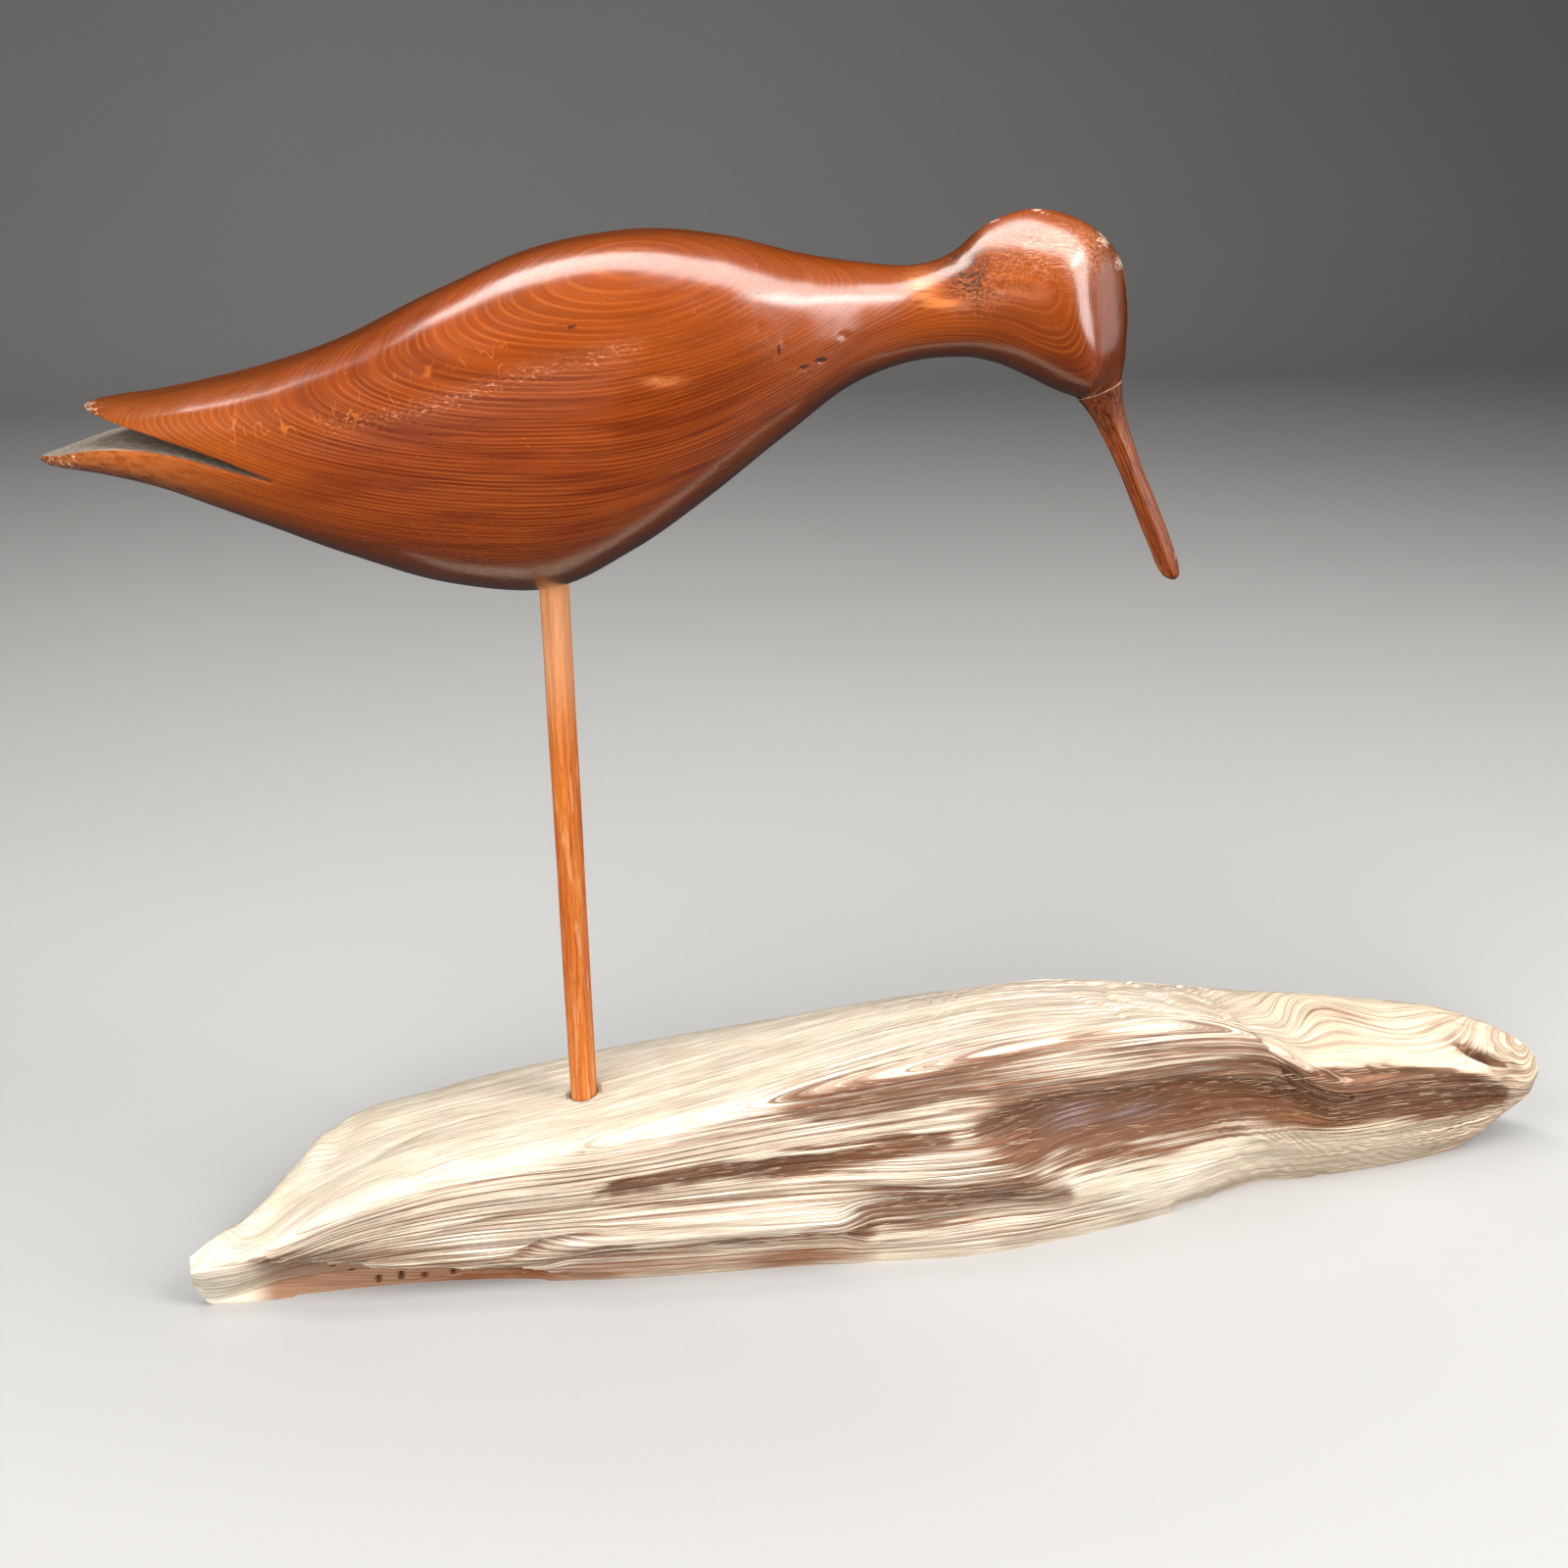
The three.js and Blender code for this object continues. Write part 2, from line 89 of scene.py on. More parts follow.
# %% [markdown]
# ## Tools for smooth forms
# A carver works from a few measured sections and lets the knife run between them. `through` does the same
# with numbers: a smooth curve through a few rows. `drift` gives soft random values for everything that
# wood does by itself. It is worked out from the place alone, so it is the same on every run.

# %% Curves through measured rows
def eased(value, start, end):
    """0 before start, 1 after end and a soft step between them."""
    share = np.clip((value - start) / (end - start), 0, 1)
    return share * share * (3 - 2 * share)


def through(knots, rows, at):
    """A smooth curve through the rows that lie at the knots, read at many places at once."""
    knots = np.asarray(knots, float)
    rows = np.asarray(rows, float)
    span = np.diff(knots)
    rise = np.diff(rows, axis=0) / span[:, None]
    slope = np.empty_like(rows)
    slope[0] = rise[0]
    slope[-1] = rise[-1]
    slope[1:-1] = (rise[:-1] * span[1:, None] + rise[1:] * span[:-1, None]) / (span[1:] + span[:-1])[:, None]
    at = np.asarray(at, float)
    i = np.clip(np.searchsorted(knots, at, side="right") - 1, 0, len(knots) - 2)
    t = ((at - knots[i]) / span[i])[..., None]
    h = span[i][..., None]
    share = t * t * (3 - 2 * t)
    bend = slope[i] * t * (1 - t) ** 2 + slope[i + 1] * t * t * (t - 1)
    return rows[i] * (1 - share) + rows[i + 1] * share + bend * h


def on_line(line, at):
    """The value of a line of (place, value) points."""
    places, values = zip(*line)
    return np.interp(at, places, values)


def drift(x, y, z, seed=0):
    """Soft random values from -1 to 1 that change over about one unit."""
    x, y, z = np.broadcast_arrays(x, y, z)
    cells = [np.floor(a).astype(np.int64) for a in (x, y, z)]
    shares = [a - c for a, c in zip((x, y, z), cells)]
    shares = [s ** 3 * (s * (6 * s - 15) + 10) for s in shares]
    total = np.zeros(x.shape)
    for corner in range(8):
        weight = np.ones(x.shape)
        hashed = np.full(x.shape, seed * 668265263 + 374761393, np.int64)
        for axis, prime in enumerate((73856093, 19349663, 83492791)):
            step = (corner >> axis) & 1
            weight = weight * (shares[axis] if step else 1 - shares[axis])
            hashed = hashed ^ ((cells[axis] + step) * prime)
        hashed = (hashed ^ (hashed >> 13)) * 1274126177
        hashed = hashed ^ (hashed >> 16)
        total += weight * ((hashed & 0xFFFF) / 32767.5 - 1)
    return total


def summed(*parts):
    """The sum of masks, each given as (amount, mask)."""
    total = 0.0
    for amount, mask in parts:
        total = total + amount * mask
    return total


print("a curve through 0, 1, 0 is", through([0, 1, 2], [[0], [1], [0]], [0.5])[0, 0], "half way up")

# %% [markdown]
# ## From rings of points to a piece
# The bird, the bill and the driftwood are each a skin over rings of points, as a hull is planked over its
# frames. The helpers take points and faces in millimetres, make the mesh and keep the values that the
# finish will read. Separate numbers for points and faces are more work than a sculpted ball, but every
# size stays in the script.

# %% Make meshes
def ring_faces(rings, sides, first=0):
    """Quads between rings of points that are numbered one after another."""
    i, j = np.meshgrid(np.arange(rings - 1), np.arange(sides), indexing="ij")
    a = first + i * sides + j
    b = first + i * sides + (j + 1) % sides
    return np.stack([a, b, b + sides, a + sides], -1).reshape(-1, 4)


def strip_faces(rows):
    """Quads between neighbouring rows of point numbers, which don't close on themselves."""
    return np.stack([rows[:-1, :-1], rows[:-1, 1:], rows[1:, 1:], rows[1:, :-1]], -1).reshape(-1, 4)


def fan_faces(ring, middle, outward):
    """Triangles from the middle to a closed ring of point numbers."""
    a = np.asarray(ring)
    b = np.roll(a, -1)
    order = [np.full(len(a), middle), a, b] if outward else [np.full(len(a), middle), b, a]
    return np.stack(order, -1)


def make_piece(name, points, faces, values=None, smooth_under=60):
    """A mesh from points in millimetres, with one named value a point for each of values."""
    mesh = bpy.data.meshes.new(name)
    mesh.from_pydata((points * MM).tolist(), [], [tuple(f) for part in faces for f in part.tolist()])
    for key, value in (values or {}).items():
        layer = mesh.attributes.new(key, "FLOAT", "POINT")
        layer.data.foreach_set("value", np.asarray(value, np.float32).ravel())
    mesh.validate()
    mesh.shade_smooth()
    mesh.set_sharp_from_angle(angle=math.radians(smooth_under))
    piece = bpy.data.objects.new(name, mesh)
    bpy.context.scene.collection.objects.link(piece)
    return piece


def baked(piece):
    """Turns a piece with live modifiers into a plain mesh."""
    graph = bpy.context.evaluated_depsgraph_get()
    done = bpy.data.meshes.new_from_object(piece.evaluated_get(graph))
    piece.modifiers.clear()
    piece.data = done
    return piece


def print_size(piece):
    """Says how many triangles a piece has and how large it is."""
    places = np.array([v.co for v in piece.data.vertices])
    size = (places.max(0) - places.min(0)) / MM
    faces = sum(len(p.vertices) - 2 for p in piece.data.polygons)
    print(piece.name, faces, "triangles,", " x ".join(f"{s:.1f}" for s in size), "mm")


print("two rings of six points are joined by", len(ring_faces(2, 6)), "quads")

# %% [markdown]
# ## Where everything stands
# The leg ties the decoy together: the bird stands on its axis, and both sockets are bored along it. Its
# ends are read from the solid model. They could be typed in again, but then they could disagree with it.

# %% Measure the solid model
CLEARANCE = 0.3  # the room round the leg in its sockets
LEG_FLATS = 8
LEG_IN_BIRD = 24  # how deep the socket in the belly is

leg_low, leg_high = (np.array(corner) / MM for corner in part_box("leg"))
wood_low, wood_high = (np.array(corner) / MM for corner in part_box("driftwood_base"))
leg_axis = (leg_low[:2] + leg_high[:2]) / 2
leg_across = leg_high[0] - leg_low[0]
leg_radius = leg_across / 2 / math.cos(math.pi / LEG_FLATS)
belly_height = leg_high[2] - (LEG_IN_BIRD - CLEARANCE)
wood_length = wood_high[0] - wood_low[0]
print("leg axis", leg_axis.round(1), "belly at", round(belly_height, 1), "driftwood", round(wood_length, 1))

# %% [markdown]
# ## The driftwood's form
# The base is a riven length of wood that the sea has rounded. Nineteen stations along it say where the
# front meets the table, where it turns into the top, where the top turns down behind and where the back
# meets the table. It could be sculpted too, but a few measured rows can be corrected one by one. The same
# stations shape the solid model, so this skin lies on it.

# %% Stations along the driftwood
WOOD_DEPTH = 120
WOOD_HEIGHT = 88
STATIONS = [
    # along, front foot y z, edge y z, shoulder y z, heel y, bulge, crown, in hundredths
    (-50.0, -25.0, 11.0, -25.8, 18, -23.3, 25, -22.5, 1, 1),
    (-49.2, -26.0, 1.0, -26.4, 19, -20.0, 27, -18.0, 1, 1),
    (-48.5, -26.3, 0.0, -26.7, 20, -17.0, 28, -13.5, 2, 1),
    (-45.7, -27.5, 0.0, -27.5, 23, -1.0, 29, 4.0, 3, 2),
    (-43.4, -27.7, 0.0, -27.2, 29, 14.5, 37, 20.0, 3, 3),
    (-41.5, -27.9, 0.0, -26.7, 35, 25.0, 41, 30.0, 4, 3),
    (-34.0, -30.0, 0.0, -25.0, 48, 34.2, 49, 43.3, 7, 6),
    (-23.3, -38.8, 0.0, -25.0, 57, 37.5, 58, 50.8, 8, 7),
    (-9.5, -45.4, 0.0, -26.7, 73, 29.2, 74, 48.3, 8, 7),
    (4.2, -51.7, 0.0, -30.0, 89, 16.7, 91, 41.7, 7, 6),
    (12.5, -48.3, 0.0, -31.7, 97, 9.6, 97, 37.5, 5, 3),
    (19.1, -42.9, 0.0, -31.7, 97, 6.3, 93, 33.3, 4, 3),
    (25.8, -34.2, 0.0, -33.3, 82, 2.9, 86, 28.3, 3, 2),
    (30.2, -33.8, 0.0, -36.7, 57, 0.4, 83, 25.0, 3, 3),
    (38.2, -32.1, 0.0, -35.8, 52, -3.3, 75, 16.7, 3, 4),
    (43.5, -28.3, 1.0, -31.7, 45, -7.5, 68, 6.7, 3, 4),
    (47.3, -25.0, 15.0, -28.3, 36, -13.3, 59, -6.7, 2, 3),
    (49.2, -23.8, 25.0, -26.0, 34, -17.5, 51, -14.0, 1, 2),
    (50.0, -22.9, 34.0, -23.3, 38, -20.0, 44, -19.0, 0, 0),
]
LOOK = 0.5  # how far to either side the run of a section is looked at
SHORTEST = 0.001  # the least distance kept between two corners of a section


def swollen(start, end, size):
    """A point beside the middle of a line, to the left of its way."""
    way = end - start
    way = way / np.linalg.norm(way)
    return (start + end) / 2 + size * np.array([-way[1], way[0]])


def wood_section(along, heights):
    """Points and outward directions round one section. Heights run 0 to 1 up the front, 1 to 2 over the
    top and 2 to 3 down the back."""
    row = through([r[0] for r in STATIONS], STATIONS, along)
    y = row / 100 * WOOD_DEPTH
    z = row / 100 * WOOD_HEIGHT
    foot = np.array([y[1], max(z[2], 0)])
    edge = np.array([y[3], z[4]])
    shoulder = np.array([y[5], z[6]])
    heel = np.array([y[7], foot[1]])
    crown = (edge + shoulder) / 2 + [0, z[9]]
    corners = np.array([foot, swollen(foot, edge, y[8]), edge, crown, shoulder,
                        swollen(shoulder, heel, y[8]), heel])
    steps = np.maximum(np.linalg.norm(np.diff(corners, axis=0), axis=1), SHORTEST)
    reach = np.concatenate([[0], np.cumsum(steps)])
    at = np.interp(heights, [0, 1, 2, 3], reach[[0, 2, 4, 6]])
    ahead = through(reach, corners, np.minimum(at + LOOK, reach[-1]))
    run = ahead - through(reach, corners, np.maximum(at - LOOK, 0))
    run /= np.linalg.norm(run, axis=1)[:, None]
    return through(reach, corners, at), np.stack([-run[:, 1], run[:, 0]], -1)


print(len(STATIONS), "stations along", round(wood_length), "mm of driftwood")


# %% Lay the skin's points
COLUMNS = 300
FRONT_ROWS = 190
TOP_ROWS = 64
BACK_ROWS = 34
UNDER_ROWS = 5
END_CROWDING = 0.35

steps = np.linspace(0, 1, COLUMNS + 1)
alongs = (100 * steps - 50) * (1 - END_CROWDING) - 50 * np.cos(math.pi * steps) * END_CROWDING
heights = np.concatenate([np.arange(FRONT_ROWS) / FRONT_ROWS, 1 + np.arange(TOP_ROWS) / TOP_ROWS,
                          2 + np.arange(BACK_ROWS + 1) / BACK_ROWS])
sections = [wood_section(a, heights) for a in alongs]
skin = np.array([s[0] for s in sections])
outward = np.array([s[1] for s in sections])
section_x = alongs / 100 * wood_length
wood_x = np.broadcast_to(section_x[:, None], skin.shape[:2])
wood_h = np.broadcast_to(heights[None, :], wood_x.shape)
print("driftwood skin:", skin.shape[0], "sections of", skin.shape[1], "points")

# %% [markdown]
# ## What the sea has carved
# Soft wood wears away and hard wood stays. The large shapes are hollows and ridges that run with the
# grain. Each one lies along a line of (place, height) points, where height counts 0 to 1 up the front and 1
# to 2 over the top. Above and below say how far it reaches from that line. A picture of heights could
# carve them as well, but a line and a depth can be read and changed.

# %% Lines along the grain
LEDGE = [(-283, 1.1), (-272, 1.03), (-265, 0.8), (-253, 0.6), (-241, 0.54), (-223, 0.34), (-207, 0.23),
         (-185, 0.19), (-161, 0.11), (-140, 0.06)]
HOLLOW_TOP = [(-134, 0.83), (-131, 0.81), (-107, 0.79), (-90, 0.78), (-73, 0.76), (-45, 0.7), (-21, 0.67),
              (24, 0.65)]
LENS = [(-187, 0.2), (-172, 0.28), (-136, 0.42), (-90, 0.39), (-44, 0.31), (-24, 0.27)]
LENS_GROOVE = [(-209, 0.63), (-173, 0.67), (-143, 0.65), (-103, 0.55), (-51, 0.5), (4, 0.4), (38, 0.35)]
LOW_GROOVE = [(-180, 0.29), (-159, 0.43), (-143, 0.46), (-126, 0.45), (-93, 0.39), (-66, 0.36)]
SCOOP = [(9, 0.66), (30, 0.67), (64, 0.60), (90, 0.56), (140, 0.58), (181, 0.72), (199, 0.8)]
SHELF = [(160, 0.89), (167, 1.0), (175, 1.12), (190, 1.24), (214, 1.24), (228, 1.2), (252, 1.12),
         (266, 1.06), (284, 1.0)]


def band(line, above, below, starts, ends, core=0.0):
    """1 on a line along the wood, fading out above and below it and narrowing to its two ends."""
    first = line[0][0]
    last = line[-1][0]
    full = eased(wood_x, first, first + starts) * (1 - eased(wood_x, last - ends, last))
    off = wood_h - on_line(line, wood_x)
    reach = np.where(off > 0, above, below) * np.sqrt(full) + 0.001
    return (1 - eased(np.abs(off) / reach, core, 1)) * full


def ragged(line, size, seed, length=5):
    """The same line with torn edges: many points, moved up and down a little."""
    x = np.arange(line[0][0], line[-1][0] + 1, 1.0)
    torn = drift(x / length, 0, 0, seed) + 0.6 * drift(x / length * 2.7, 4, 0, seed)
    return list(zip(x, on_line(line, x) + size * torn))


print("the ledge runs from", LEDGE[0][0], "to", LEDGE[-1][0], "mm along the wood")


# %% Hollows and ridges along the grain
HOLLOW_START = -130
HOLLOW_SLANT = 130

ledge_edge = on_line(ragged(LEDGE, 0.03, 11), wood_x)
under_ledge = (1 - eased(wood_h, ledge_edge - 0.05, ledge_edge)) * eased(wood_x, -300, -262)
under_ledge = under_ledge * (1 - eased(wood_x, -172, -146))
hollow_edge = on_line(ragged(HOLLOW_TOP, 0.012, 12, 9), wood_x)
in_hollow = 1 - eased(wood_h, hollow_edge - 0.05, hollow_edge)
in_hollow = in_hollow * eased(wood_h, hollow_edge - 0.19, hollow_edge - 0.07)
hollow_start = HOLLOW_START + HOLLOW_SLANT * (wood_h - 0.81) + 2.5 * drift(wood_h * 30, 0, 0, 14)
in_hollow = in_hollow * eased(wood_x, hollow_start, hollow_start + 6) * (1 - eased(wood_x, -75, 24))
shelf_edge = on_line(ragged(SHELF, 0.012, 13, 8), wood_x)
under_shelf = (1 - eased(wood_h, shelf_edge - 0.08, shelf_edge)) * eased(wood_h, 0.3, 0.75)
under_shelf = under_shelf * eased(wood_x, 158, 170) * (1 - eased(wood_x, 268, 288))

carving = summed(
    # depth in millimetres, less than 0 where wood stands proud
    (7.2, under_ledge),
    (-2.5, band([(-271, 1.0), (-249, 0.72), (-223, 0.45), (-191, 0.3), (-144, 0.2)], 0.3, 0.16, 24, 48)),
    (8.0, in_hollow),
    (3.0, band([(-217, 0.6), (-173, 0.66), (-143, 0.63), (-103, 0.54), (-51, 0.47), (6, 0.4)],
               0.12, 0.1, 48, 36)),
    (1.8, band(LENS_GROOVE, 0.03, 0.025, 30, 60)),
    (-5.0, band(LENS, 0.15, 0.15, 60, 20, 0.1)),
    (1.8, band(LOW_GROOVE, 0.035, 0.05, 20, 30)),
    (4.2, band([(-168, 0.18), (-143, 0.18), (-110, 0.17), (-75, 0.17), (-26, 0.14)], 0.08, 0.1, 20, 14)),
    (5.0, band([(-44, 0.36), (-10, 0.33), (12, 0.27), (60, 0.2)], 0.13, 0.2, 26, 36)),
    (20.0, band(SCOOP, 0.2, 0.38, 60, 96)),
    (3.0, band([(12, 0.68), (46, 0.66), (90, 0.6), (134, 0.6), (170, 0.78)], 0.07, 0.16, 30, 50)),
    (3.8, under_shelf))
print("deepest carving", round(float(carving.max()), 1), "mm")

# %% [markdown]
# ## Breaks, pits and the rounded end
# At the right the top layers break off in a slanting cliff. The rounded end is rough: ridges run out over
# it like fingers, with a slot and a crater between them. Small steps are broken out of the bottom edge. A
# bump in the material would stop at the outline, so all of this moves the skin itself.

# %% The cliff and the pits
CLIFF = [(0.7, 172), (0.89, 161), (0.98, 155), (1.24, 149), (1.53, 146), (1.95, 143)]
from_cliff = wood_x - on_line(CLIFF, wood_h) - 2.0 * drift(wood_h * 14, 0, 0, 21)
on_cliff = eased(wood_h, 0.6, 0.8) * (1 - eased(wood_h, 1.85, 1.98))
cliff = np.where(from_cliff < 0, eased(from_cliff, -3.5, 0), 1 - eased(from_cliff, 0, 16)) * on_cliff
carving = carving + 3.4 * cliff

PITS = [
    # along, height, reach along, reach in height, depth, slant
    (270, 1.40, 13.0, 0.10, 8.0, -0.006), (283, 1.07, 5.5, 0.12, 4.5, 0.0),
    (276, 1.22, 4.0, 0.05, 2.5, 0.0), (289, 1.30, 4.0, 0.10, 2.5, 0.0),
    (116, 0.56, 10.0, 0.09, 3.5, 0.002), (-225, 1.42, 9.0, 0.03, 1.1, 0.004),
    (-213, 1.47, 7.0, 0.02, 0.9, 0.004), (-199, 1.13, 8.0, 0.02, 0.8, 0.0),
    (-243, 1.75, 10.0, 0.2, 2.5, 0.01), (-268, 1.6, 9.0, 0.3, 1.6, 0.0),
    (-283, 1.85, 3.5, 0.5, 1.6, 0.0), (-262, 1.9, 5.0, 0.35, 1.8, 0.0), (-246, 1.95, 3.0, 0.25, 1.2, 0.0),
]
pits = np.zeros_like(wood_x)
for at, height, reach, rise, depth, slant in PITS:
    off = wood_h - height - slant * (wood_x - at)
    pits = pits + depth * np.exp(-((wood_x - at) / reach) ** 2 - (off / rise) ** 2)
print("pits down to", round(float(pits.max()), 1), "mm")

# %% Fingers, ripples, flakes and chips
FLAKE_LENGTH = 17
UNCUT_FOOT = 0.08
CHIPS = [(-262, -160, 1.3), (44, 49, 1.2), (49, 110, 0.6), (112, 131, 3.2), (131, 170, 1.8), (186, 192, 1.0)]

on_nose = eased(wood_x, 238, 272)
fingers = np.abs(np.sin(wood_h * 15 + 1.2 * drift(wood_x / 14, wood_h * 3, 0, 22)))
crumbled = drift(wood_x / 3.2, wood_h * 14, 0, 23) + 0.5 * drift(wood_x / 1.6, wood_h * 30, 0, 24)
carving = carving + pits + on_nose * (1.2 * fingers * eased(wood_h, 0.9, 1.2) + 0.5 * crumbled)

rippled = eased(wood_x, 112, 140) * (1 - eased(wood_x, 245, 268)) * (1 - eased(wood_h, 0.42, 0.58))
ripples = np.sin(math.tau * (wood_x / 6.5 + wood_h * 9 + 1.1 * drift(wood_x / 16, wood_h * 6, 0, 27)))
carving = carving + 0.55 * rippled * ripples * (0.6 + 0.4 * drift(wood_x / 9, wood_h * 9, 0, 28))

flaky = eased(wood_x, 62, 90) * (1 - eased(wood_x, 140, 152))
flaky = flaky * eased(wood_h, 1.12, 1.3) * (1 - eased(wood_h, 1.9, 2.05))
flake_place = (wood_x + 45 * wood_h) / FLAKE_LENGTH + 0.5 * drift(wood_x / 20, wood_h * 5, 0, 29)
carving = carving + 1.7 * flaky * (flake_place - np.floor(flake_place)) ** 3
carving = carving * eased(wood_h, 0, UNCUT_FOOT) * (1 - eased(wood_h, 3 - UNCUT_FOOT, 3))

at_foot = 1 - eased(wood_h, 0.0, 0.09)
for start, end, depth in CHIPS:
    chipped = depth * at_foot * eased(wood_x, start - 0.8, start + 0.8) * (1 - eased(wood_x, end - 3, end))
    carving = carving + chipped
left_end = 1 - eased(wood_x, -301, -292)
rough = 0.9 * drift(wood_x / 4, wood_h * 4, 0, 25) + 0.5 * drift(wood_x / 2, wood_h * 11, 0, 26)
carving = carving + left_end * rough
print("all carving", round(float(carving.min()), 1), "to", round(float(carving.max()), 1), "mm")

# %% [markdown]
# ## Growth layers
# The tree grew a layer a year. On the front they are cut across, so they show as fine lines that have
# worn back by different amounts. On the top they are cut nearly flat, so the same layers show as a few
# wide loops. Two patterns of grain would not meet at the edge, so both looks come from one measure: the
# height of a place among the layers, which arches with the wood.

# %% Number the layers
STATION_PLACES = [r[0] for r in STATIONS]
edge_height = through(STATION_PLACES, [[r[4] / 100 * WOOD_HEIGHT] for r in STATIONS], alongs)
skin_y = skin[..., 0]
skin_z = skin[..., 1]
arch = 0.8 * (edge_height - 60) * eased(wood_h, 0.35, 1.0) * (1 - eased(wood_h, 2.2, 3.0))
from_edge = skin_y - skin[:, FRONT_ROWS:FRONT_ROWS + 1, 0]
layer = skin_z - arch - 0.7 * from_edge * eased(wood_h, 0.95, 1.25)
layer = layer + 1.5 * drift(wood_x / 95, skin_y / 26, skin_z / 20, 31)
layer = layer + 0.12 * drift(wood_x / 30, skin_y / 8, skin_z / 7, 32)
swirled = eased(wood_x, -10, 40) * (1 - eased(wood_x, 150, 175))
swirled = swirled * eased(wood_h, 1.05, 1.3) * (1 - eased(wood_h, 2, 2.2))
layer = layer + swirled * 1.6 * drift(wood_x / 40, skin_y / 14, 0, 33)
print("growth layers", round(float(layer.min())), "to", round(float(layer.max())), "mm")


def worn_layers(thickness, length, seed, edge=0.3):
    """How far each layer has worn back, 0 to 1: one value a layer, changing slowly along the grain."""
    place = layer / thickness
    number = np.floor(place)
    here = drift(wood_x / length, number * 7.31, 0, seed)
    next_one = drift(wood_x / length, (number + 1) * 7.31, 0, seed)
    return 0.5 + 0.5 * (here + (next_one - here) * eased(place - number, 1 - edge, 1))


def layer_lines(thickness, seed):
    """Narrow valleys between layers, 0 to 1, each deep in some places and gone in others."""
    place = layer / thickness + 0.1 * drift(wood_x / 60, skin_y / 8, skin_z / 8, seed)
    valley = 1 - np.abs(np.sin(math.pi * place)) ** 0.7
    strength = 0.7 + 0.45 * drift(wood_x / 60, np.round(place) * 5.17, 0, seed + 1)
    return valley * np.clip(strength, 0, 1)


# %% Wear them back one by one
GRAIN_TOP = [(-290, 1.15), (-257, 1.08), (-240, 1.02), (-182, 1.0), (-140, 1.06), (-88, 1.04), (-55, 1.25),
             (-12, 1.28), (28, 1.18), (69, 1.12), (115, 1.16), (142, 1.4), (158, 1.1), (300, 1.1)]
GRAIN_RIGHT = [(0.0, 97), (0.14, 79), (0.33, 48), (0.52, 28), (0.63, 11)]

torn_h = wood_h + 0.05 * drift(wood_x / 34, layer / 1.4, 0, 52)
torn_h = torn_h + 0.035 * drift(wood_x / 14, layer / 0.9, 0, 53)
grain_top = on_line(GRAIN_TOP, wood_x)
front = eased(wood_h, 0.02, 0.1) * (1 - eased(torn_h, grain_top - 0.08, grain_top + 0.06))
front = front * eased(wood_x, -284, -264)
top = eased(torn_h, grain_top - 0.08, grain_top + 0.06) * (1 - eased(wood_h, 1.95, 2.05))
behind = eased(wood_h, 1.95, 2.1) * (1 - eased(wood_h, 2.9, 3.0))
top_grain = 0.14 + 0.4 * eased(wood_x, -90, 30) - 0.15 * eased(wood_x, 165, 185)
smooth_lens = 0.5 * band(LENS, 0.08, 0.06, 60, 16, 0.4)
apron_start = on_line(GRAIN_RIGHT, wood_h) + 14 * drift(layer / 1.6, 0, 0, 54)
apron = eased(wood_x, apron_start - 4, apron_start + 8) * (1 - eased(torn_h, 0.42, 0.56))
apron = apron * (1 - eased(wood_x, 225, 260))
grained = front * (1 - smooth_lens) * (1 - 0.85 * apron) + top * top_grain + 0.5 * behind
grained = np.clip(grained * (1 - 0.85 * under_ledge) + 0.2 * swirled, 0, 1)

wear = summed((2.0, worn_layers(6.4, 90, 41, 0.25)), (1.1, worn_layers(2.9, 70, 42, 0.35)),
              (0.5, worn_layers(1.5, 60, 43, 0.5)))
wide_lines = layer_lines(2.1, 44)
fine_lines = layer_lines(1.2, 46)
lines = 1.3 * wide_lines + 0.4 * fine_lines
texture = 0.12 * drift(wood_x / 5, skin_y / 1.3, skin_z / 1.3, 48)
relief = grained * (wear + lines) + texture
print("layers have worn back by up to", round(float(relief.max()), 1), "mm")

# %% [markdown]
# ## Where the wood is brown
# Sun and salt have bleached what stands proud to a pale straw colour, and the hollows have kept their
# brown. So colour follows the carving. The brown values also hold painted shadow under the ledge, the lens
# and the hollow's top edge, and painted shade in the worm holes and on the right end's top. These values
# are kept on the mesh for the material to read, which keeps the colours in place whatever the mesh's own
# numbering is.

# %% Places of colour
def between(lower, upper, soft=0.06):
    """1 between two lines along the wood, with a torn, soft edge and nothing beyond their ends."""
    inside = eased(torn_h, on_line(lower, wood_x) - soft, on_line(lower, wood_x) + soft)
    inside = inside * (1 - eased(torn_h, on_line(upper, wood_x) - soft, on_line(upper, wood_x) + soft))
    first = lower[0][0]
    last = lower[-1][0]
    return inside * eased(wood_x, first - 4, first + 6) * (1 - eased(wood_x, last - 8, last))


def patch(along, height, reach, rise):
    """1 at a place on the wood, fading out around it."""
    return np.exp(-((wood_x - along) / reach) ** 2 - ((wood_h - height) / rise) ** 2)


scoop_brown = between(
    [(8, 0.64), (16, 0.62), (28, 0.52), (48, 0.42), (71, 0.34), (94, 0.31), (126, 0.36), (163, 0.48),
     (210, 0.7)],
    [(8, 0.66), (32, 0.8), (66, 0.77), (112, 0.74), (160, 0.9), (175, 1.0), (210, 1.2)], 0.09)
shelf_brown = between(
    [(158, 0.58), (198, 0.68), (239, 0.56), (274, 0.56), (286, 0.56)],
    [(158, 0.88), (167, 0.98), (175, 1.1), (190, 1.22), (214, 1.22), (252, 1.1), (266, 1.04), (286, 0.98)],
    0.05)
strata_brown = between(
    [(-96, 0.99), (-50, 0.9), (-10, 0.81), (30, 0.79), (66, 0.77), (112, 0.73), (160, 0.88)],
    [(-96, 1.0), (-50, 1.03), (-7, 1.02), (40, 1.0), (110, 0.97), (160, 1.02)], 0.09)
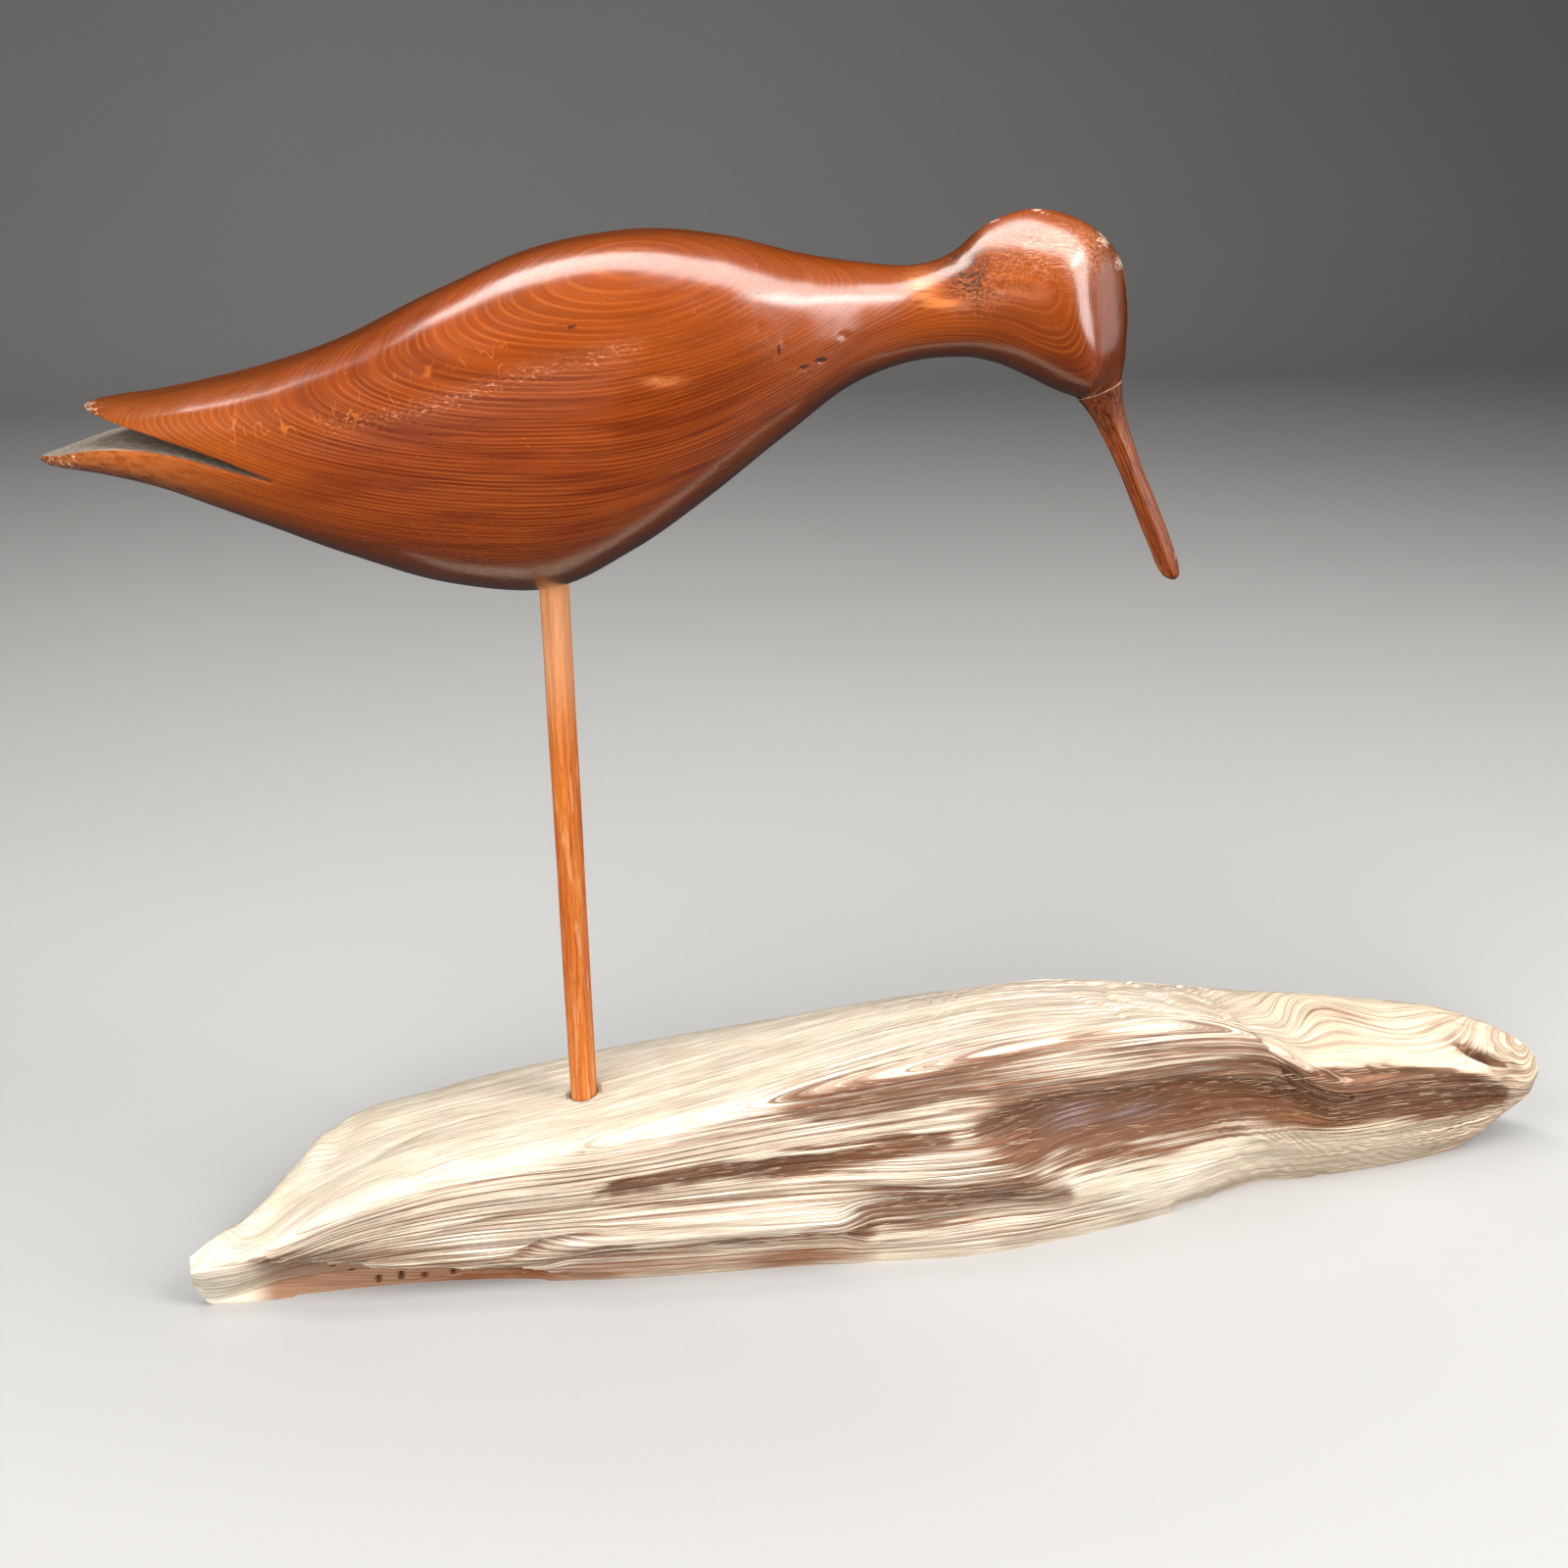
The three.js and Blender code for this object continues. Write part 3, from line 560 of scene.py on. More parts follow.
strata_brown = strata_brown + 0.6 * between(
    [(-60, 0.98), (40, 0.98), (110, 0.95), (162, 1.0)],
    [(-60, 1.0), (0, 1.1), (40, 1.12), (110, 1.14), (162, 1.1)], 0.1)
streak_brown = between([(-66, 0.63), (-20, 0.62), (14, 0.63)], [(-66, 0.74), (-20, 0.74), (14, 0.69)], 0.04)
lobe_brown = between([(-60, 0.2), (0, 0.22), (40, 0.25), (66, 0.18)],
                     [(-60, 0.34), (0, 0.42), (40, 0.4), (66, 0.28)], 0.08)
ledge_brown = between([(-278, 0.9), (-253, 0.62), (-223, 0.36), (-185, 0.2), (-120, 0.2)],
                      [(-278, 1.1), (-253, 0.84), (-223, 0.6), (-185, 0.4), (-120, 0.34)], 0.07)
lens_shade = band([(-168, 0.2), (-143, 0.2), (-110, 0.2), (-90, 0.22), (-53, 0.2), (-20, 0.18)],
                  0.07, 0.12, 24, 10)
nose_slot = band([(255, 1.5), (264, 1.46), (286, 1.33)], 0.07, 0.07, 6, 4)
# brown in the hollow, darkest under its top edge: partly painted shadow
hollow_brown_and_shadow = in_hollow * eased(torn_h, hollow_edge - 0.26, hollow_edge - 0.06)
# brown under the ledge, darkest just under its lip: partly painted shadow
ledge_brown_and_shadow = under_ledge * eased(torn_h, ledge_edge - 0.3, ledge_edge - 0.02) * eased(wood_x, -276, -250)
right_top = eased(wood_x, 150, 175) * eased(wood_h, 1.15, 1.35) * (1 - eased(wood_h, 1.88, 1.98))
print("the scoop's brown covers", round(float((scoop_brown > 0.5).mean() * 100)), "% of the skin")

# %% Bleached and brown places, with painted shade
brown = summed(
    (1.0, ledge_brown_and_shadow), (1.15, hollow_brown_and_shadow), (1.0, scoop_brown), (0.95, shelf_brown),
    (0.85 - 0.3 * eased(wood_x, 15, 60), strata_brown), (0.9, lobe_brown), (0.6, ledge_brown),
    (0.75, lens_shade), (1.2, nose_slot), (1.0, streak_brown), (0.5, band(LENS_GROOVE, 0.05, 0.05, 30, 60)),
    # the right end's top: partly pink-brown streaks, partly painted shade
    (0.6, band(LOW_GROOVE, 0.05, 0.06, 20, 30)), (right_top, 0.26 + 0.2 * patch(200, 1.72, 24, 0.14)))
brown = np.clip(brown + 0.1 * np.clip(pits, 0, 6) * on_nose, 0, 1)
# painted shade under the lens
shade_under_lens = band([(-112, 0.2), (-70, 0.21), (-32, 0.2)], 0.05, 0.05, 40, 6)
brown = brown * (1 - 0.8 * smooth_lens) + 0.55 * shade_under_lens

# an orange stain has risen from the foot, and lies under the ledge and in the low parts of the hollows
from_foot = (1 - eased(wood_h, 0.04, 0.15)) * eased(wood_x, -288, -262)
from_foot = from_foot * (0.6 + 0.4 * drift(wood_x / 18, 0, 0, 51)) * (1 - 0.5 * eased(wood_x, -140, -100))
low_ledge = 1 - 0.5 * eased(wood_h, ledge_edge - 0.2, ledge_edge - 0.04)
orange = summed(
    (0.9, from_foot), (0.85, under_ledge * low_ledge * eased(wood_x, -290, -268)),
    (0.6, band([(-48, 0.66), (-20, 0.65), (2, 0.65)], 0.05, 0.05, 14, 14)),
    (0.9, patch(-55, 0.06, 16, 0.05)),
    (0.5, scoop_brown * (1 - eased(wood_h, 0.45, 0.75))),
    (0.4, shelf_brown * (1 - eased(wood_h, 0.6, 0.85))),
    (0.4, between([(-165, 0.02), (-20, 0.0)], [(-165, 0.12), (-20, 0.08)])))
orange = np.clip(orange, 0, 1)
bloom = patch(68, 0.57, 13, 0.07) + 0.6 * patch(100, 0.5, 14, 0.05)  # a frost of salt in the recess
# darker in the valleys between layers: partly painted shade in the grooves
valley = np.clip(1.1 * wide_lines + 0.3 * fine_lines, 0, 1)
valley = valley * grained * (1 - 0.6 * top) * (1 - 0.5 * right_top)
print("brown covers", round(float((brown > 0.5).mean() * 100)), "% of the skin")

# %% [markdown]
# ## One skin for the driftwood
# All the carving so far is a depth for each point of the skin. Here every point moves in by its depth, the
# underside is closed flat with a few rows more, and a fan of triangles closes each end. Hollows could be
# cut out one by one, but moved points keep the mesh even, and depths simply add up where hollows cross.

# %% Build the driftwood
WHOLE_LEFT = (-301, -294)  # the two ends stay whole, so that the wood keeps its length
WHOLE_RIGHT = (288, 299)

centred = relief - 1.9 * grained
cut = carving + centred * eased(wood_h, 0, 0.03) * (1 - eased(wood_h, 2.97, 3))
cut = cut * eased(wood_x, *WHOLE_LEFT) * (1 - eased(wood_x, *WHOLE_RIGHT))
foot_height = np.maximum(skin[:, :1, 1], 0)
worn = skin - outward * cut[..., None]
worn[..., 1] = np.maximum(worn[..., 1], foot_height)
worn[:, 0, 1] = foot_height[:, 0]
worn[:, -1, 1] = foot_height[:, 0]
under_share = np.linspace(0, 1, UNDER_ROWS + 1)[1:-1]
under_y = worn[:, -1:, 0] + (worn[:, :1, 0] - worn[:, -1:, 0]) * under_share
under = np.stack([under_y, np.broadcast_to(foot_height, under_y.shape)], -1)
rings = np.concatenate([worn, under], 1)
sides = rings.shape[1]
ring_x = np.broadcast_to(section_x[:, None, None], (*rings.shape[:2], 1))
wood_points = np.concatenate([ring_x, rings], -1)
ends = wood_points[[0, -1]].mean(1)
wood_points = np.vstack([wood_points.reshape(-1, 3), ends])

# the rings run from the front over the top, so the skin faces outwards with its order turned round
last_ring = (len(alongs) - 1) * sides
wood_faces = [ring_faces(len(alongs), sides)[:, ::-1],
              fan_faces(np.arange(sides), len(wood_points) - 2, True),
              fan_faces(last_ring + np.arange(sides), len(wood_points) - 1, False)]


def on_all_points(value, below=0.0):
    """A value for the skin's points, continued over the underside and the two ends."""
    under_value = np.full((len(alongs), sides - value.shape[1]), below)
    whole = np.concatenate([value, under_value], 1)
    return np.concatenate([whole.ravel(), [whole[0].mean(), whole[-1].mean()]])


wood_values = {"layer": layer, "brown": brown, "orange": orange, "valley": valley, "grained": grained,
               "bloom": bloom}
under_values = {"brown": 0.3, "orange": 0.6}
wood_values = {key: on_all_points(value, under_values.get(key, 0.0)) for key, value in wood_values.items()}
driftwood = make_piece("driftwood", wood_points, wood_faces, wood_values, 80)
print_size(driftwood)

# %% [markdown]
# ## Holes
# The leg stands in a drilled socket, and worms have bored a few holes low on the front. A hole that is only
# painted on looks flat from the side, so a drill, which is a thin cylinder, is cut out of the wood instead.
# Each worm hole goes in square to the skin, from the place along the wood and the height that it is given.

# %% Bore the driftwood
SHARP_RIM = math.radians(50)
WORM_HOLES = [
    # along, height, radius
    (-239.0, 0.1, 0.75), (-229.0, 0.03, 0.55), (-219.0, 0.035, 0.65), (-247.0, 0.24, 0.6),
    (-199.0, 0.04, 0.6), (-211.0, 0.03, 0.45), (118.0, 0.62, 0.7), (196.0, 0.95, 0.6), (224.0, 0.8, 0.7),
]
WORM_DEPTH = 4
WORM_SIDES = 10
ABOVE_SKIN = 3


def bored(piece, holes, sides=32):
    """Bores round holes, each with its start, its end and its radius in millimetres."""
    turns = np.arange(sides) * math.tau / sides
    points = []
    faces = []
    for start, end, radius in holes:
        start, end = np.array(start), np.array(end)
        way = (end - start) / np.linalg.norm(end - start)
        across = np.cross(way, [0.0, 1.0, 0.0] if abs(way[1]) < 0.9 else [1.0, 0.0, 0.0])
        across /= np.linalg.norm(across)
        circle = np.cos(turns)[:, None] * across + np.sin(turns)[:, None] * np.cross(way, across)
        circle = radius * circle
        first = sum(len(part) for part in points)
        points.append(np.vstack([start + circle, end + circle, [start, end]]))
        faces += [ring_faces(2, sides, first),
                  fan_faces(first + np.arange(sides), first + 2 * sides, False),
                  fan_faces(first + sides + np.arange(sides), first + 2 * sides + 1, True)]
    drill = make_piece("drill", np.vstack(points), faces)
    cut = piece.modifiers.new("bored", "BOOLEAN")
    cut.object = drill
    cut.operation = "DIFFERENCE"
    cut.solver = "EXACT"
    baked(piece)
    bpy.data.objects.remove(drill)
    piece.data.shade_smooth()
    piece.data.set_sharp_from_angle(angle=SHARP_RIM)


socket_radius = leg_radius + CLEARANCE
bored(driftwood, [((*leg_axis, leg_low[2] - CLEARANCE), (*leg_axis, leg_high[2]), socket_radius)])
worm_ways = []
for at, height, radius in WORM_HOLES:
    i = np.argmin(np.abs(section_x - at))
    j = np.argmin(np.abs(heights - height))
    mouth = np.array([section_x[i], *worn[i, j]])
    way = np.array([0.0, *outward[i, j]])
    worm_ways.append((mouth + ABOVE_SKIN * way, mouth - WORM_DEPTH * way, radius))
bored(driftwood, worm_ways, WORM_SIDES)
print_size(driftwood)

# %% [markdown]
# ## The bird's form
# Body, neck, head and forked tail are one block. Each station is a leaning oval from the back to the belly.
# Lengths are in hundredths of the bird's length from the leg, and heights in hundredths of its height above
# the belly. A carver draws such outlines on the block first, and for a script they are the easiest thing
# to measure. The tail is forked by a saw cut, so behind the end of the cut every oval is split in two.

# %% Stations along the bird
BIRD_LENGTH = 390
BIRD_WIDTH = 100
BIRD_HEIGHT = 133
BIRD_TURN = math.radians(-5)
BELOW_BELLY = 20  # where the drill starts
OVALS = [
    # back along, back height, belly along, belly height, half width, square
    (-40.3, 52.2, -45.1, 37.8, 3.0, 2.2),
    (-39.2, 53.1, -44.1, 36.6, 13.0, 2.3),
    (-37.4, 53.8, -42.3, 36.0, 21.0, 2.4),
    (-34.4, 54.6, -38.7, 34.9, 29.0, 2.5),
    (-30.3, 56.7, -33.3, 31.0, 35.0, 2.6),
    (-24.4, 60.8, -25.6, 22.0, 41.0, 2.6),
    (-17.4, 67.7, -17.4, 12.0, 46.0, 2.6),
    (-9.0, 79.0, -9.0, 3.7, 49.5, 2.6),
    (0.0, 89.4, 0.0, 1.2, 50.0, 2.6),
    (9.0, 93.8, 7.7, 11.3, 49.0, 2.6),
    (16.7, 92.3, 14.9, 25.4, 44.0, 2.5),
    (23.6, 87.7, 21.8, 40.6, 35.0, 2.4),
    (29.5, 85.1, 27.7, 53.0, 25.5, 2.2),
    (34.1, 84.4, 33.3, 59.2, 19.5, 2.1),
    (37.7, 87.6, 38.5, 60.6, 19.5, 2.1),
    (40.8, 95.3, 41.8, 59.0, 22.5, 2.2),
    (44.6, 99.0, 44.9, 55.4, 26.0, 2.4),
    (49.2, 95.6, 47.7, 51.6, 27.5, 2.4),
    (53.1, 86.8, 49.5, 49.7, 26.0, 2.3),
    (54.4, 74.4, 50.2, 49.2, 19.5, 2.2),
    (54.6, 63.2, 50.4, 48.8, 12.0, 2.1),
    (54.3, 53.6, 50.2, 48.6, 6.5, 2.0),
]
FORK_TOP = [(-50.0, 53.3), (-39.2, 51.4), (-36.1, 49.8), (-29.5, 44.6), (-22.6, 36.9)]
FORK_BOTTOM = [(-50.0, 35.5), (-43.0, 40.0), (-39.0, 42.9), (-35.0, 44.0), (-30.8, 42.8), (-26.1, 39.4),
               (-22.6, 36.9)]
THINNEST_TIP = 1.3
IN_MM = np.array([BIRD_LENGTH, BIRD_HEIGHT, BIRD_LENGTH, BIRD_HEIGHT, BIRD_WIDTH, 100]) / 100
fork_end = np.array(FORK_TOP[-1]) * IN_MM[:2]


def ovals(at):
    """Back point, belly point, half width and squareness of the ovals, in millimetres from the belly."""
    row = through(np.arange(len(OVALS)), np.array(OVALS) * IN_MM, at)
    return row[..., 0:2], row[..., 2:4], row[..., 4], row[..., 5]


def fork_height(line, along):
    """How high one face of the saw cut is above the belly."""
    places = np.array(line) * IN_MM[:2]
    return through(places[:, 0], places[:, 1:], along)[..., 0]


def where_cut(line, at):
    """How far up the ovals a face of the saw cut crosses them, from -1 at the belly to 1 at the back."""
    back, belly, _, _ = ovals(at)
    up = np.linspace(-1, 1, 801)
    places = (back + belly)[:, None] / 2 + (back - belly)[:, None] / 2 * up[None, :, None]
    above = places[..., 1] > fork_height(line, np.minimum(places[..., 0], fork_end[0]))
    return up[np.argmax(above, axis=1)]


print(len(OVALS), "ovals along the bird, the saw cut ends at", fork_end.round(1))


# %% Find where the saw cut ends
tries = np.linspace(4, 7, 3001)
back, belly, _, _ = ovals(tries)
lean = back - belly
beside = (fork_end[0] - belly[:, 0]) * lean[:, 1] - (fork_end[1] - belly[:, 1]) * lean[:, 0]
split_at = tries[np.argmin(np.abs(beside))]
back, belly, _, _ = ovals(np.array([split_at]))
lean = (back - belly)[0]
end_share = 2 * np.dot(fork_end - belly[0], lean) / np.sum(lean ** 2) - 1
print("the saw cut ends at station", round(float(split_at), 2), round(float(end_share), 2), "of the way up")

# %% [markdown]
# ## One skin over the bird
# Rings of points run round the ovals, evenly spaced from tail to bill. Each ring is an upper arc and a lower
# arc that meet at two corners. In front of the saw cut the arcs share their corners. Behind it they part,
# and two flat faces, which meet in a line at the end of the cut, close the upper and the lower blade. The
# cut could be sawn out of a whole tail, but its thin tips would come out ragged.

# %% Space the rings
TAIL_RINGS = 84
BODY_RINGS = 262
ARC_STEPS = 82
FACE_STEPS = 46


def evenly(start, end, count):
    """Places from start to end that are about as far apart on the bird everywhere."""
    fine = np.linspace(start, end, 2000)
    back, belly, half_width, _ = ovals(fine)
    moved = np.linalg.norm(np.diff(back, axis=0), axis=1) + np.linalg.norm(np.diff(belly, axis=0), axis=1)
    moved = moved + 1.5 * np.abs(np.diff(half_width))
    reach = np.concatenate([[0], np.cumsum(moved)])
    return np.interp(np.linspace(0, reach[-1], count + 1), reach, fine)


tail_at = evenly(0, split_at, TAIL_RINGS)
body_at = evenly(split_at, len(OVALS) - 1, BODY_RINGS)
back, belly, _, _ = ovals(tail_at)
half_tall = np.linalg.norm(back - belly, axis=1) / 2
cut_top = np.minimum(where_cut(FORK_TOP, tail_at), 1 - THINNEST_TIP / half_tall)
cut_bottom = np.maximum(where_cut(FORK_BOTTOM, tail_at), THINNEST_TIP / half_tall - 1)
cut_top = np.maximum(cut_top, cut_bottom)
cut_top[-1] = cut_bottom[-1] = end_share
corner_share = end_share * (1 - eased(body_at, split_at, split_at + 6))
print("tail opens", round(float(((cut_top - cut_bottom) * half_tall).max()), 1), "mm")

# %% Shape the skin
FLATS = [
    # turn from straight ahead, rise, a point on the flat: along, sideways, height; how soft its edges are
    (47, 9, (218.5, 0, 95.8), 10.0),
    (101, 49, (171.0, 26.6, 112.6), 11.0),
]
CORNER_CROWDING = 0.35


def planed(points):
    """Presses points back behind the flats that a knife left on both sides of the face and the crown."""
    side = np.where(points[..., 1:2] < 0, -1, 1) * [0, 1, 0] + [1, 0, 1]
    for turn_degrees, rise_degrees, place_on, soft in FLATS:
        turned, rise = math.radians(turn_degrees), math.radians(rise_degrees)
        level = math.cos(rise)
        way = np.array([level * math.cos(turned), level * math.sin(turned), math.sin(rise)])
        out = way * side
        beyond = ((points - np.array(place_on) * side) * out).sum(-1)
        pressed = np.where(beyond > soft, 0, -((beyond - soft) ** 2) / (4 * soft))
        moved = np.where(beyond < -soft, 0, pressed - beyond) * eased(points[..., 0], 122, 165)
        points = points + moved[..., None] * out
    return points


def on_oval(at, angle):
    """Points on the ovals at the angles, counted from the far side over the back."""
    back, belly, half_width, square = (value[:, None] for value in ovals(at))
    power = 2 / square
    up = np.sign(np.sin(angle)) * np.abs(np.sin(angle)) ** power
    out = np.sign(np.cos(angle)) * np.abs(np.cos(angle)) ** power
    middle = (back + belly) / 2 + (back - belly) / 2 * up[..., None]
    return planed(np.stack([middle[..., 0], out * half_width, middle[..., 1]], -1))


def corner_angle(at, share):
    """The angle at which an oval is that share of the way up."""
    square = ovals(at)[3]
    return np.arcsin(np.sign(share) * np.abs(share) ** (square / 2))


crowded = np.linspace(0, 1, ARC_STEPS + 1)
crowded = crowded - CORNER_CROWDING / math.tau * np.sin(math.tau * crowded)


def arcs(at, top_share, bottom_share):
    """The upper arc from far to near side, and the lower arc from near to far side."""
    top = corner_angle(at, top_share)[:, None]
    bottom = corner_angle(at, bottom_share)[:, None]
    upper = on_oval(at, top + (math.pi - 2 * top) * crowded)
    lower = on_oval(at, math.pi - bottom + (math.pi + 2 * bottom) * crowded)
    return upper, lower


tail_upper, tail_lower = arcs(tail_at, cut_top, cut_bottom)
body_upper, body_lower = arcs(body_at, corner_share, corner_share)
print("arcs of", ARC_STEPS + 1, "points:", len(tail_at), "in the tail and", len(body_at), "in the body")

# %% Number the points and join them
ring_size = 2 * ARC_STEPS
body_rings = np.concatenate([body_upper[:, :-1], body_lower[:, :-1]], 1)
points = [body_rings.reshape(-1, 3)]
count = body_rings.shape[0] * ring_size
faces = [ring_faces(body_rings.shape[0], ring_size)]
joint_ring = (body_rings.shape[0] - 1) * ring_size + np.arange(ring_size)
first_ring = np.append(np.arange(ring_size), 0)
across = np.linspace(0, 1, FACE_STEPS + 1)[1:-1, None]
seam = body_upper[0, -1] * (1 - across) + body_upper[0, 0] * across
seam_numbers = count + np.arange(len(seam))
points.append(seam)
count += len(seam)
blades = []
for arc, arc_numbers in ((tail_upper, first_ring[:ARC_STEPS + 1]), (tail_lower, first_ring[ARC_STEPS:])):
    rings = arc[:-1]
    inner = rings[:, -1:] * (1 - across) + rings[:, :1] * across
    blade = np.concatenate([rings, inner], 1)
    numbers = count + np.arange(blade.shape[0] * blade.shape[1]).reshape(blade.shape[:2])
    count += numbers.size
    points.append(blade.reshape(-1, 3))
    shared = seam_numbers if arc is tail_upper else seam_numbers[::-1]
    numbers = np.vstack([numbers, np.concatenate([arc_numbers, shared])])
    faces.append(strip_faces(np.hstack([numbers, numbers[:, :1]])))
    points.append(blade[:1].mean(1))
    faces.append(fan_faces(numbers[0], count, False))
    count += 1
    blades.append(numbers)
points.append(body_rings[-1:].mean(1))
faces.append(fan_faces(joint_ring, count, True))
bird_points = np.vstack(points)
print("bird skin:", len(bird_points), "points")

# %% [markdown]
# ## Knife, sandpaper and forty years of handling
# A hand-carved block is never quite even, so the skin gets swells of a tenth of a millimetre that make
# the highlights wander. A few dents follow, pushed in for real, because a painted dent vanishes in a
# highlight. Each one lies on the near side, at a place along the bird and a height above the belly. The
# places of scratches, dust and worn edges are kept as values for the varnish.

# %% Places of wear
s, y, h = bird_points.T
near = eased(-y, -2, 4)


def anywhere(along, height, reach, rise):
    """1 at a place on both sides of the bird, fading out around it."""
    return np.exp(-((s - along) / reach) ** 2 - ((h - height) / rise) ** 2)


def spot(along, height, reach, rise):
    """1 at a place on the near side, fading out around it."""
    return near * anywhere(along, height, reach, rise)


def streak(line, reach):
    """1 along a line of (along, height) points on the near side."""
    ends = eased(s, line[0][0] - 3, line[0][0] + 3) * (1 - eased(s, line[-1][0] - 3, line[-1][0] + 3))
    return near * ends * np.exp(-((h - on_line(line, s)) / reach) ** 2)


inside_fork = np.zeros(len(s))
dusty = np.zeros(len(s))
for numbers, dust in zip(blades, (0.25, 1.0)):
    inside_fork[numbers[:-1, ARC_STEPS + 1:]] = 1
    dusty[numbers[:-1, ARC_STEPS + 1:]] = dust
low_blade = np.zeros(len(s))
low_blade[blades[1][:-1, :ARC_STEPS + 1]] = 1

bird_values = {
    "dusty": dusty,
    # painted shade on the low belly, partly a darker stain
    "belly_shade_and_stain": eased(-h, -34, -6) * eased(s, -120, -60) * (1 - eased(s, 50, 110)),
    "scuffed": summed(
        (0.9, streak([(-72, 67), (-60, 69.6), (-40, 72), (-24, 77), (-2, 84), (30, 91), (36, 92)], 3.4)),
        (0.8, spot(41, 81, 5, 1.8)), (0.7, spot(92, 82, 7, 4)), (0.4, spot(70, 52, 16, 8)),
        (0.8, spot(182, 121, 17, 9)), (0.9, spot(206, 113, 6, 9)), (0.5, spot(78, 90, 8, 8)),
        (0.5, spot(-10, 14, 40, 5)), (0.5, spot(66, 122, 10, 3)), (0.3, spot(-30, 30, 40, 12))),
    "flecked": streak([(-110, 65), (-92, 67), (-66, 70.4), (-46, 79), (-28, 83), (-6, 90)], 5.0),
    "dirty": summed((1.0, spot(147, 113, 7, 7)), (0.6, spot(151, 106, 9, 8))),
    "rubbed": summed(
        (1.0, anywhere(206, 113, 3, 4)), (1.0, anywhere(199, 121, 4, 3)), (0.45, anywhere(180, 131, 20, 4)),
        (0.5, eased(-s, 150, 158) * (1 - inside_fork)), (0.6, spot(-152, 69, 6, 3))),
    "bared_and_blade_sheen": summed(
        (1.0, spot(133, 106, 5, 4)), (0.8, spot(140, 101, 7, 2)), (0.8, spot(42, 80.8, 6, 1.3)),
        # on the lower blade the lighter paint is partly a painted reflection
        (0.4, near * eased(-s, 95, 150) * low_blade)),
    "scratched": summed(
        (1.0, spot(190, 118, 12, 8)), (0.7, spot(172, 118, 14, 8)), (0.4, spot(150, 106, 12, 8))),
    "cracked": summed(
        (1.0, spot(96, 84.5, 3, 1)), (1.0, spot(90, 82.6, 2.5, 0.8)), (1.0, spot(11, 98.3, 4, 0.8)),
        (0.8, spot(81, 89, 1, 3))),
}
print("places of wear:", ", ".join(bird_values))

# %% Build the bird
DENTS = [
    # along, height, reach along, reach in height, depth
    (41.0, 80.8, 5.6, 1.2, 0.6), (47.5, 80.6, 1.6, 1.4, 0.4), (89.7, 82.3, 2.2, 0.7, 0.5),
    (96.1, 84.1, 2.4, 0.7, 0.5), (92.8, 79.6, 1.8, 0.6, 0.4), (82.7, 90.8, 0.7, 1.8, 0.25),
    (80.6, 87.0, 0.7, 1.2, 0.25), (11.0, 98.3, 4.5, 0.9, 0.35), (19.0, 99.6, 2.4, 0.8, 0.3),
    (-14.0, 79.4, 2.0, 1.2, 0.3), (-24.0, 76.8, 2.4, 1.2, 0.35), (74.0, 96.0, 1.2, 1.0, 0.3),
    (147.0, 115.0, 5.0, 2.2, 0.25), (104.0, 92.0, 1.6, 1.2, 0.3), (62.0, 50.0, 1.5, 1.2, 0.25),
    (171.0, 121.0, 3.0, 1.4, 0.25), (-66.0, 44.0, 2.2, 1.4, 0.3), (-88.0, 49.5, 1.6, 1.6, 0.3),
]
EDGE_REACH = 2  # how many points to each side of an edge are eased

bird = make_piece("bird", bird_points, faces, {k: np.clip(v, 0, 1) for k, v in bird_values.items()}, 40)
swell = 0.16 * drift(s / 24, y / 15, h / 15, 61) + 0.05 * drift(s / 8, y / 7, h / 7, 62)
dented = sum(depth * spot(*place) for *place, depth in DENTS)
normals = np.array([v.normal for v in bird.data.vertices])
moved = bird_points + normals * ((swell - dented) * (1 - inside_fork))[:, None]
bird.data.vertices.foreach_set("co", (moved * MM).ravel())

# ease the edges of the saw cut, which lie at the corners of the two blades
edge_group = bird.vertex_groups.new(name="saw cut edges")
edge_columns = [corner + step for corner in (0, ARC_STEPS) for step in range(-EDGE_REACH, EDGE_REACH + 1)]
for numbers in blades:
    for row in numbers[:-1]:
        edge_group.add([int(row[column]) for column in edge_columns], 1.0, "REPLACE")
    edge_group.add([int(n) for n in numbers[:3].ravel()], 1.0, "REPLACE")
easing = bird.modifiers.new("eased edges", "SMOOTH")
easing.vertex_group = edge_group.name
easing.factor = 0.5
easing.iterations = 4
baked(bird)

belly_place = (leg_axis[0] * MM, leg_axis[1] * MM, belly_height * MM)
bird_place = Matrix.Translation(belly_place) @ Matrix.Rotation(BIRD_TURN, 4, "Z")
bird.data.transform(bird_place)
drill_start = (*leg_axis, belly_height - BELOW_BELLY)
bored(bird, [(drill_start, (*leg_axis, leg_high[2] + CLEARANCE), socket_radius)])
print_size(bird)

# %% [markdown]
# ## The bill
# The bill is a whittled spike with a ridge down each side, glued to the small flat at the front of the
# head. Its sections lie parallel to the joint. At the root they are as large and as round as the flat, and a
# little way down they turn into slim diamonds. A cone would do from far away, but it has no ridge to
# catch the light. A thin line of old glue shows where it joins.

# %% Shape the bill
BILL_LENGTH = 82
BILL_DEPTH = 9.4
BILL_WIDTH = 7.4
BILL_SWEEP = math.radians(3.5)
BILL_FORM = [
    # share along, flare, depth, width
    (0.0, 1, 1, 1), (0.05, 0.68, 1, 1), (0.12, 0.36, 1, 1), (0.2, 0.15, 1, 1), (0.32, 0, 0.97, 1),
    (0.6, 0, 0.93, 0.92), (0.82, 0, 0.92, 0.86), (0.92, 0, 0.84, 0.76), (0.965, 0, 0.66, 0.6),
    (0.99, 0, 0.42, 0.4), (1.0, 0, 0.12, 0.12),
]
BILL_RINGS = 110
BILL_SIDES = 56
GLUE_LINE = 0.32

